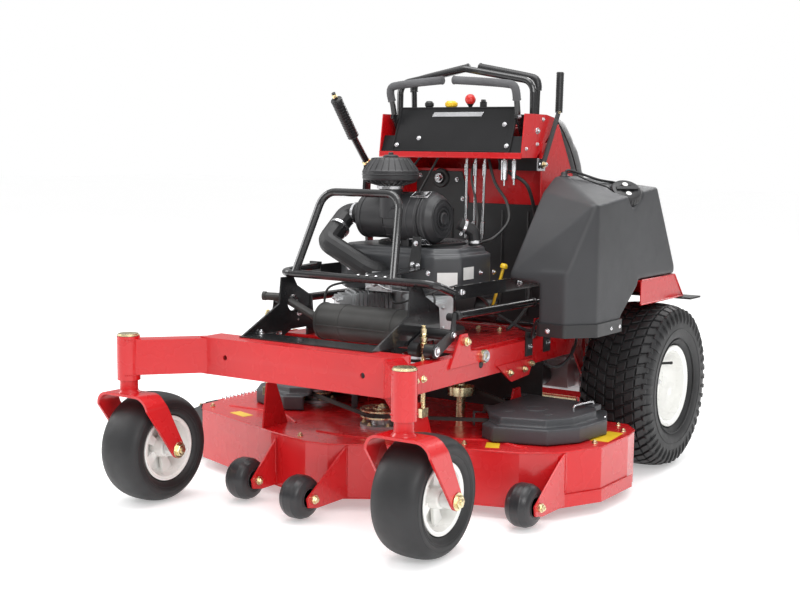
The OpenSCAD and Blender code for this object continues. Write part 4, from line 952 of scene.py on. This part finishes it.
# breather hose along the tank's top, its grommet, and the fuel line below
b.lathe(P(380, 1062, 982), Z, [(17, 0), (17, 3), (11, 6), (10, 14), (6, 17)], 28)
b.sweep([P(380, 1062, 992), P(392, 1072, 1004), P(430, 1100, 990), P(470, 1132, 974), P(500, 1180, 966),
         P(480, 1220, 964)], 4.2, 10)
b.sweep([P(384, 1066, 994), P(400, 1078, 996), P(440, 1092, 976), P(500, 1100, 958), P(520, 1104, 950)], 2.4,
        8)
b.sweep([P(446, 830, 560), P(420, 822, 540), P(392, 850, 500), P(366, 900, 480), P(340, 960, 484),
         P(300, 940, 500), P(240, 900, 540)], 5, 12)
b.done("fuel_hoses", HOSE, "chassis", 0, 60)

# bolts that hold the tank's tray
for y in (900, 1020):
    b.bolt(P(356, y, 450), X, 7, 6)
for x, y, d in ((480, 784, -Y), (604, 960, X), (604, 1020, X)):
    b.bolt(P(x, y, 522), d, 6, 5)
b.done("tank_bolts", BRIGHT, "chassis", 0, 30)

# ---------------------------------------------------------------- deck

# folded lip and welds round the deck's edge
b.bar([P(x, y, 73) for x, y in ((694, 960), (694, 743), (622, 596), (600, 581))], 1.8, 8)
outline = [(690, 930), (690, 745), (620, 600), (530, 535), (385, 490), (130, 375), (15, 300), (-60, 290),
           (-230, 335), (-640, 470), (-690, 530)]
b.bar([P(x, y, DECK_TOP - 1) for x, y in outline], 2.6, 8)
b.bar([P(x, y, DECK_TOP - 1) for x, y in ((-690, 940), (-690, 1010), (-630, 1080), (620, 1080), (670, 1020),
                        (690, 930))], 2.6, 8)
for (x0, y0), (x1, y1) in zip(outline[3:8], outline[4:9]):
    b.bar([P(x0, y0, 37), P(x1, y1, 37)], 2.6, 8)
for x, y0, y1 in ((632, 566, 622), (62, 290, 326), (-205, 290, 322)):
    bead(b, P(x + 3, y1, 80), P(x + 3, y1, 190))
# pressed ribs across the top plate
for pts in (((250, 560), (380, 620), (520, 600)), ((-250, 480), (-380, 560), (-600, 560)),
            ((-120, 420), (0, 420), (110, 440))):
    b.sweep([P(x, y, DECK_TOP - 1) for x, y in pts], 5, 10)
b.done("deck_edges", RED, "deck", 0, 60)

for x, y in ((650, 980), (650, 780), (-650, 980), (-640, 520), (600, 1050), (-600, 1050), (300, 1050),
             (-300, 1050), (340, 540), (-120, 340), (100, 400)):
    b.bolt(P(x, y, DECK_TOP), Z, 7, 6)
for x, y in SPINDLES.values():
    for t in turns(6):
        b.bolt(P(x + 58 * cos(t + 0.4), y + 58 * sin(t + 0.4), 210), Z, 7, 6)
for x, y in ROLLERS.values():
    b.bolt(P(x + 57, y, ROLLER_Z), X, 10, 7).bolt(P(x - 48, y, ROLLER_Z), -X, 10, 7)
b.bolt(P(281, 388, 316), X, 7, 6)
b.done("deck_bolts", ZINC, "deck", 0, 30)

for corners in (((612, 955), (664, 950), (678, 815), (622, 806)),
                ((384, 596), (424, 606), (453, 551), (415, 535)),
                ((-520, 470), (-440, 446), (-430, 484), (-510, 508))):
    b.plate([P(x, y, DECK_TOP + 0.2) for x, y in corners], Z * 0.0005)
b.done("plain_stickers_deck", STICKER, "deck")
# ribs, steps and wire latches on the belt covers
for s, side in SIDES:
    b.lathe(P(372 * s, 740, COVER_TOP - 1.5), Z, [(22, 0), (21, 2), (16, 3), (0.1, 3)], 40)
    b.lathe(P(500 * s, 760, COVER_TOP - 1.5), Z, [(16, 0), (15, 2), (12, 3), (0.1, 3)], 40)
    b.bar([P(x * s, y, 249.5) for x, y in ((352, 664), (404, 624), (542, 668), (588, 744), (600, 890),
                            (552, 1000), (340, 1018))], 3.2, 8)
    b.lathe(P(430 * s, 810, 272), Z, [(40, 0), (38, 3), (30, 4), (28, 2.5), (0.1, 2.5)], 48)
    b.block(P(540 * s, 930, 262), P(575 * s, 975, 278))
    b.done("cover_ribs_" + side, COVER, "deck", 0.8)

    b.sweep([P(530 * s, 872, 268), P(532 * s, 874, 281), P(536 * s, 884, 285), P(549 * s, 952, 285),
             P(553 * s, 962, 281), P(554 * s, 963, 266)], 4, 12)
    b.rod(P(614 * s, 930, 199), P(610 * s, 930, 252), 4, 12)
    b.done("cover_latch_" + side, BRIGHT, "deck", 0, 60)
# plated pulleys with pressed webs
for name, (x, y) in SPINDLES.items():
    c = P(x, y, PULLEY_Z)
    b.lathe(c, Z, [(57.6, -6), (70.6, -7.4), (70.8, -12.4), (57, -12.6), (57, -12.6)], 64)
    b.lathe(c, Z, [(57.6, 6), (70.6, 7.4), (70.8, 12.4), (60, 12.8), (50, 12.8), (44, 12.4), (30, 12.4),
                   (28, 15), (16, 15)], 64)
    b.bolt(P(x, y, 259), Z, 12, 8)
    for t in turns(5):
        d = ray(t)
        b.lathe(c + d * 0.046 + Z * 0.0125, Z, [(7, 0), (7, 1.2), (5, 1.6), (4, 0.4)], 20)
    b.done("pulley_face_" + name, ZINC, "spindle_" + name, 0, 40)

    b.bolt(P(x, y, 37), -Z, 15, 7)
    b.done("blade_bolt_" + name, BRIGHT, "spindle_" + name, 0, 30)
# rollers: moulded rings and hub plugs
for name, (x, y) in ROLLERS.items():
    c = P(x, y, ROLLER_Z)
    for k in (-1, 1):
        b.lathe(c, X, [(27, 38 * k), (30, 39.5 * k), (33, 38 * k)], 40)
    b.hoop(c, X, [(36, -38.4), (49, -36), (58, -27), (62.5, -14), (63.4, 0), (62.5, 14), (58, 27), (49, 36),
                  (36, 38.4), (34, 36), (34, -36)], 72)
    b.done("roller_form_" + name, ROLLER, "roller_" + name, 0, 45)

# deflector: hinge spring, folded lip and bolts
coil = []
for k in range(120):
    t = 2 * pi * k / 12
    coil.append(P(-703, 640 + k * 1.6, 192) + V(cos(t), 0, sin(t)) * 0.0125)
b.bar(coil, 1.8, 6)
b.done("deflector_spring", BRIGHT, "deck", 0, 60)

b.bar([P(-970, 542, 55), P(-970, 948, 55)], 4, 10)
for y in (600, 745, 890):
    b.bar([P(-730, y, 187), P(-935, y, 97.5)], 3.2, 8)
b.done("deflector_ribs", BLACK, "deflector", 0, 40)

for y in (570, 600, 880, 910):
    b.bolt(P(-740, y, 182), V(-0.4, 0, 0.92), 6, 5)
b.done("deflector_bolts", ZINC, "deflector", 0, 30)

# ---------------------------------------------------------------- drive units, battery, platform
for s, side in SIDES:
    for k in range(7):
        y = 1312 + k * 22
        b.block(P(96 * s, y, 246), P(284 * s, y + 4, 349))
    for x in (110, 270):
        for y in (1308, 1452):
            b.bolt(P(x * s, y, 345), Z, 7, 6)
    b.lathe(P(150 * s, 1340, 398), Z, [(60, 0), (60, 2), (44, 3), (30, 3), (26, 8), (14, 8)], 48)
    b.lathe(P(240 * s, 1420, 345), Z, [(36, 0), (38, 4), (38, 10), (34, 12), (20, 12)], 40)
b.done("drive_unit_ribs", ALLOY, "chassis", 0.5, 35)

for s, side in SIDES:
    b.lathe(P(190 * s, 1300, 290), -Y, [(36, 0), (38, 4), (38, 70), (35, 76), (18, 78), (0.1, 78)], 40)
    b.sweep([P(240 * s, 1420, 356), P(250 * s, 1400, 420), P(262 * s, 1340, 452), P(240 * s, 1240, 470),
             P(180 * s, 1180, 520)], 9, 12, ribs=(9, 0.5))
    b.sweep([P(280 * s, 1440, 330), P(305 * s, 1400, 380), P(304 * s, 1300, 400), P(300 * s, 1160, 430),
             P(302 * s, 1020, 420), P(296 * s, 960, 380)], 7, 12)
    b.sweep([P(380 * s, 1160, 420), P(392 * s, 1100, 388), P(380 * s, 1040, 370), P(366 * s, 1000, 376)],
            4.5, 10)
    b.sweep([P(384 * s, 1180, 460), P(410 * s, 1090, 410), P(398 * s, 1020, 374), P(366 * s, 980, 386)], 4.5,
            10)
b.done("hydraulic_hoses", HOSE, "chassis", 0, 50)

# dark sheet hung between the rails behind the deck: painted shade, a black sheet standing in for the shaded
# space under the engine deck
b.plate([P(x, 1096, z) for x, z in ((-300, 374), (300, 374), (300, 198), (288, 188), (-288, 188),
                        (-300, 198))], V(0, 0.003, 0))
b.done("painted_shade_sheet", RUBBER_AND_SHADE, "chassis", 0.5)

# rod and brackets that hang the black sheet of painted shade
b.rod(P(-311, 1094, 372), P(311, 1094, 372), 5)
for s in (-1, 1):
    b.block(P(305 * s, 1086, 364), P(312.5 * s, 1102, 404))
b.done("painted_shade_sheet_rod", SATIN, "chassis", 0.6)

b.block(P(-92, 1178, 640), P(92, 1362, 664))
for y in (1215, 1270, 1325):
    b.lathe(P(0, y, 664), Z, [(12, 0), (12, 4), (9, 5), (0.1, 5)], 24)
b.block(P(-20, 1176, 490), P(20, 1180, 668)).block(P(-20, 1176, 664), P(20, 1364, 668))
b.done("battery_lid", PLASTIC, "chassis", 1)

for k in range(22):
    y = 1572 + k * 11
    for j in range(11):
        x = -200 + 40 * j + (20 if k % 2 else 0)
        if x < 210:
            b.plate([P(x + i, y + j, MAT_Z) for i, j in ((-13, -2), (13, -2), (13, 2), (-13, 2))], Z * 0.003)
b.block(P(-222, 1560, 164), P(222, 1565, 168)).block(P(-222, 1812, 164), P(222, 1817, 168))
b.done("platform_tread", MAT, "platform", 0.5)

for s, side in SIDES:
    b.bolt(P(235 * s, 1600, 166), X * s, 7, 6).bolt(P(235 * s, 1760, 166), X * s, 7, 6)
    b.bolt(P(180 * s, 1825, 166), Y, 7, 6)
b.rod(P(-226, 1570, 146), P(226, 1570, 146), 5)
b.done("platform_bolts", ZINC, "platform", 0, 30)

b.block(P(-229, 1556, 150), P(229, 1820, 165.6))
for s in (-1, 1):
    b.plate([P(229 * s, y, z) for y, z in ((1550, 150), (1825, 150), (1825, 176), (1566, 176), (1550, 168))],
            X * 0.006 * s)
b.block(P(-235, 1819, 150), P(235, 1825, 176))
b.done("platform_tray", SATIN, "platform", 1.2)

for s in (-1, 1):
    b.bolt(P(229 * s, 1530, 168), X * s, 10, 7)
b.done("platform_pin_nuts", ZINC, "chassis", 0, 30)

# fenders: rolled edges and bolts
for s, side in SIDES:
    b.bar([P(600 * s, 1196, 573), P(600 * s, 1545, 573)], 3, 8)
    b.bar([P(600 * s, 1196, 652), P(600 * s, 1468, 652), P(600 * s, 1545, 573)], 3, 8)
    b.bar([P(372 * s, 1545, 573), P(600 * s, 1545, 573)], 3, 8)
    b.bar([P(368 * s, 1468, 652), P(600 * s, 1468, 652)], 3, 8)
b.done("fender_edges", RED, "chassis", 0, 60)

for s, side in SIDES:
    for x in (430, 500, 570):
        b.bolt(P(x * s, 1548, 590), Y, 6, 5)
b.done("fender_bolts", BRIGHT, "chassis", 0, 30)

# tower edges
for s in (-1, 1):
    for edge in (((1150, 470), (1092, 700), (1085, 1040)), ((1196, 1150), (1378, 870), (1470, 640),
                            (1500, 470))):
        b.bar([P(283 * s, y, z) for y, z in edge], 3, 8)
    b.hoop(P(285 * s, 1180, 780), X * s, [(50, 0), (53, 0), (53, 2.5), (50, 3.5)], 48)
b.done("tower_edges", RED, "chassis", 0, 60)

# black heat shield on the tower's front plate
b.plate([P(x, SHIELD_Y, z) for x, z in ((-279, 489), (279, 489), (279, 872), (264, 884), (-264, 884),
                        (-279, 872))], V(0, -0.003, 0))
for s in (-1, 1):
    b.plate([P(280.5 * s, y, z) for y, z in ((1156, 489), (1156, 884), (1094, 884), (1098, 700),
                            (1150, 489))], X * -0.002 * s)
for x in (-200, -100, 0, 100, 200):
    b.bar([P(x, 1156, 510), P(x, 1156, 862)], 4, 8)
b.plate([P(x, SHIELD_Y, z) for x, z in ((-252, 884), (-36, 884), (-36, 900), (-64, 990), (-252, 990))],
        V(0, -0.003, 0))
b.block(P(100, 1122, 998), P(280, 1128, 1040))
b.lathe(P(-150, 1156.5, 966), -Y, [(34, 0), (34, 3), (30, 6), (20, 6), (19, 12), (17, 14), (0.1, 14)], 40)
b.done("heat_shield", SATIN, "chassis", 0.6)

b.bolt(P(-150, 1142.5, 966), -Y, 12, 9)
for x, y, z in ((-236, 1156.5, 974), (-84, 1156.5, 962), (-60, 1156.5, 896), (-236, 1156.5, 900),
                (124, 1122, 1019), (256, 1122, 1019)):
    b.bolt(P(x, y, z), -Y, 6, 5)
b.done("shield_bolts", BRIGHT, "chassis", 0, 30)

# ---------------------------------------------------------------- hip pad
PAD_BACK = [(1214, 1166), (1290, 1050), (1383, 876), (1432, 768)]
PAD_FRONT = [(1270, 1196), (1336, 1168), (1400, 1116), (1445, 1076), (1482, 1022), (1512, 965), (1538, 880),
             (1556, 806), (1534, 752)]
PAD_SEAMS = (0.30, 0.52, 0.74)
ROWS, COLUMNS = 40, 36


def pad_half(t):
    """Half the pad's width, t of the way down."""
    return 264 - 16 * abs(2 * t - 1) ** 4


def along(line, t):
    """The point t of the way along the line."""
    lengths = [dist(a, c) for a, c in zip(line, line[1:])]
    d = t * sum(lengths)
    for (a, c), length in zip(zip(line, line[1:]), lengths):
        if d <= length:
            return a[0] + (c[0] - a[0]) * d / length, a[1] + (c[1] - a[1]) * d / length
        d -= length
    return line[-1]


def pad_section(t):
    """One cross-section of the pad: its face from side to side, then its back."""
    (by, bz), (fy, fz), half = along(PAD_BACK, t), along(PAD_FRONT, t), pad_half(t)
    ring = []
    for k in range(COLUMNS + 1):
        u = sin(pi / 2 * (-1 + 2 * k / COLUMNS))
        swell = max(0.0, 1 - abs(u) ** 16) ** 0.5
        ends = min(1.0, sin(pi * min(1, max(0, t * 0.98 + 0.01))) * 3.2) ** 0.6
        f = 0.26 + 0.74 * swell * (0.30 + 0.70 * ends)
        # sewn channels across the pad
        f -= 0.05 * sum(exp(-((t - c) / 0.012) ** 2) for c in PAD_SEAMS) * swell
        ring.append(P(half * u, by + (fy - by) * f, bz + (fz - bz) * f))
    for k in range(1, COLUMNS):
        ring.append(P(half * 0.985 * sin(pi / 2 * (1 - 2 * k / COLUMNS)), by + 2, bz + 1))
    return ring


def hip_pad():
    """Foam pad in vinyl: each cross-section follows the tower's slope, swollen between its seams."""
    bm = Build().rings([pad_section(i / ROWS) for i in range(ROWS + 1)]).bm
    bmesh.ops.triangulate(bm, faces=[f for f in bm.faces if len(f.verts) > 4])
    bmesh.ops.recalc_face_normals(bm, faces=bm.faces)
    me = bpy.data.meshes.new("hip_pad_cushion")
    bm.to_mesh(me)
    bm.free()
    ob = bpy.data.objects.new("hip_pad_cushion", me)
    scene.collection.objects.link(ob)
    me.materials.append(VINYL)
    settle(ob)
    ob.data.shade_smooth()
    s = ob.modifiers.new("round", "SUBSURF")
    s.levels = s.render_levels = 1
    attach(ob, "chassis")
    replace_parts(ob, "hip_pad")
    # piping along the side seams
    b = Build()
    for u in (-1, 1):
        seam = []
        for i in range(17):
            t = 0.05 + 0.9 * i / 16
            (by, bz), (fy, fz) = along(PAD_BACK, t), along(PAD_FRONT, t)
            seam.append(P(pad_half(t) * u, by * 0.66 + fy * 0.34, bz * 0.66 + fz * 0.34))
        b.sweep(seam, 3, 8)
    b.done("pad_piping", VINYL, "chassis", 0, 60)


def settle(ob):
    """Blows the pad's cover up a little with the cloth solver, and limits how far it moves."""
    rest = [v.co.copy() for v in ob.data.vertices]
    m = ob.modifiers.new("cloth", "CLOTH")
    c = m.settings
    c.quality = 5
    c.mass = 0.4
    c.tension_stiffness = c.compression_stiffness = 20
    c.use_pressure = True
    c.uniform_pressure_force = 4
    c.effector_weights.gravity = 0
    scene.frame_start, scene.frame_end = 1, 20
    m.point_cache.frame_start, m.point_cache.frame_end = 1, 20
    for f in range(1, 21):
        scene.frame_set(f)
    dg = bpy.context.evaluated_depsgraph_get()
    me = bpy.data.meshes.new_from_object(ob.evaluated_get(dg))
    ob.modifiers.clear()
    ob.data = me
    cap = 0.008
    for v, r in zip(me.vertices, rest):
        d = v.co - r
        if d.length > cap:
            d *= cap / d.length
        v.co = r + d
    scene.frame_set(1)


hip_pad()

# ---------------------------------------------------------------- floor, light and camera
bpy.ops.mesh.primitive_plane_add(size=60, location=(0, 0, 0))
floor = bpy.context.object
floor.name = "floor"
floor_white = material("studio_floor", (0.82, 0.82, 0.82), 0.7, 0, 0, 0.01, 0.05, 3, 0.0, 0.5, 0.0,
                       spec=0.2)
glow = floor_white.node_tree.nodes["Principled BSDF"].inputs
glow["Emission Color"].default_value = (1, 1, 1, 1)
glow["Emission Strength"].default_value = 0.37
floor.data.materials.append(floor_white)

# the sky is plain white to the camera, and darker towards the horizon for light and reflections
world = bpy.data.worlds.new("studio")
scene.world = world
world.use_nodes = True
wn, wl = world.node_tree.nodes, world.node_tree.links
back_light = wn["Background"]
coords = wn.new("ShaderNodeTexCoord")
split = wn.new("ShaderNodeSeparateXYZ")
wl.new(coords.outputs["Generated"], split.inputs[0])
grade = wn.new("ShaderNodeMapRange")
for socket, value in (("From Min", 0.0), ("From Max", 0.9), ("To Min", 0.28), ("To Max", 0.95)):
    grade.inputs[socket].default_value = value
wl.new(split.outputs["Z"], grade.inputs["Value"])
seen = wn.new("ShaderNodeLightPath")
pick = wn.new("ShaderNodeMix")
wl.new(seen.outputs["Is Camera Ray"], pick.inputs["Factor"])
wl.new(grade.outputs["Result"], pick.inputs["A"])
pick.inputs["B"].default_value = 1.0
back_light.inputs["Color"].default_value = (1, 1, 1, 1)
wl.new(pick.outputs["Result"], back_light.inputs["Strength"])


def area(name, place, target, size, power, size_y=None):
    lamp = bpy.data.lights.new(name, "AREA")
    lamp.energy, lamp.size, lamp.shape = power, size, "RECTANGLE"
    lamp.size_y = size_y or size
    ob = bpy.data.objects.new(name, lamp)
    scene.collection.objects.link(ob)
    ob.location = place
    ob.rotation_mode = "QUATERNION"
    ob.rotation_quaternion = (Vector(target) - Vector(place)).to_track_quat("-Z", "Y")


# softboxes: place, what they point at, width, power and height
area("top_softbox", (0.2, -0.3, 4.2), (0, 0, 0.5), 3.4, 130)
area("key_softbox", (3.6, -3.4, 2.9), (0, 0, 0.6), 2.2, 90, 1.6)
area("side_softbox", (-3.8, -1.6, 2.4), (0, 0, 0.6), 1.8, 70, 2.4)
area("rear_softbox", (0.5, 4.4, 2.6), (0, 0, 0.6), 3.0, 70, 1.8)

# the camera as the photograph has it: place in metres, angles in degrees, and focal length in pixels
# of a picture 800 wide
CAM_PLACE = 2.4653, -3.5765, 1.0734
CAM_TURN, CAM_TILT, CAM_ROLL = 33.08, 6.98, 0.709
FOCAL, PICTURE, SENSOR = 1307.2, 800, 36
cam_data = bpy.data.cameras.new("camera")
cam = bpy.data.objects.new("camera", cam_data)
scene.collection.objects.link(cam)
turn, tilt, roll = radians(CAM_TURN), radians(CAM_TILT), radians(CAM_ROLL)
back = V(sin(turn) * cos(tilt), -cos(turn) * cos(tilt), sin(tilt))
level = V(cos(turn), sin(turn), 0)
plumb = back.cross(level)
right = level * cos(roll) + plumb * sin(roll)
up = plumb * cos(roll) - level * sin(roll)
cam.matrix_world = Matrix.Translation(CAM_PLACE) @ Matrix((right, up, back)).transposed().to_4x4()
cam_data.sensor_width, cam_data.lens = SENSOR, FOCAL / PICTURE * SENSOR
cam_data.shift_x, cam_data.shift_y = -0.0393, 0.0084
scene.camera = cam
scene.view_settings.view_transform = "Standard"
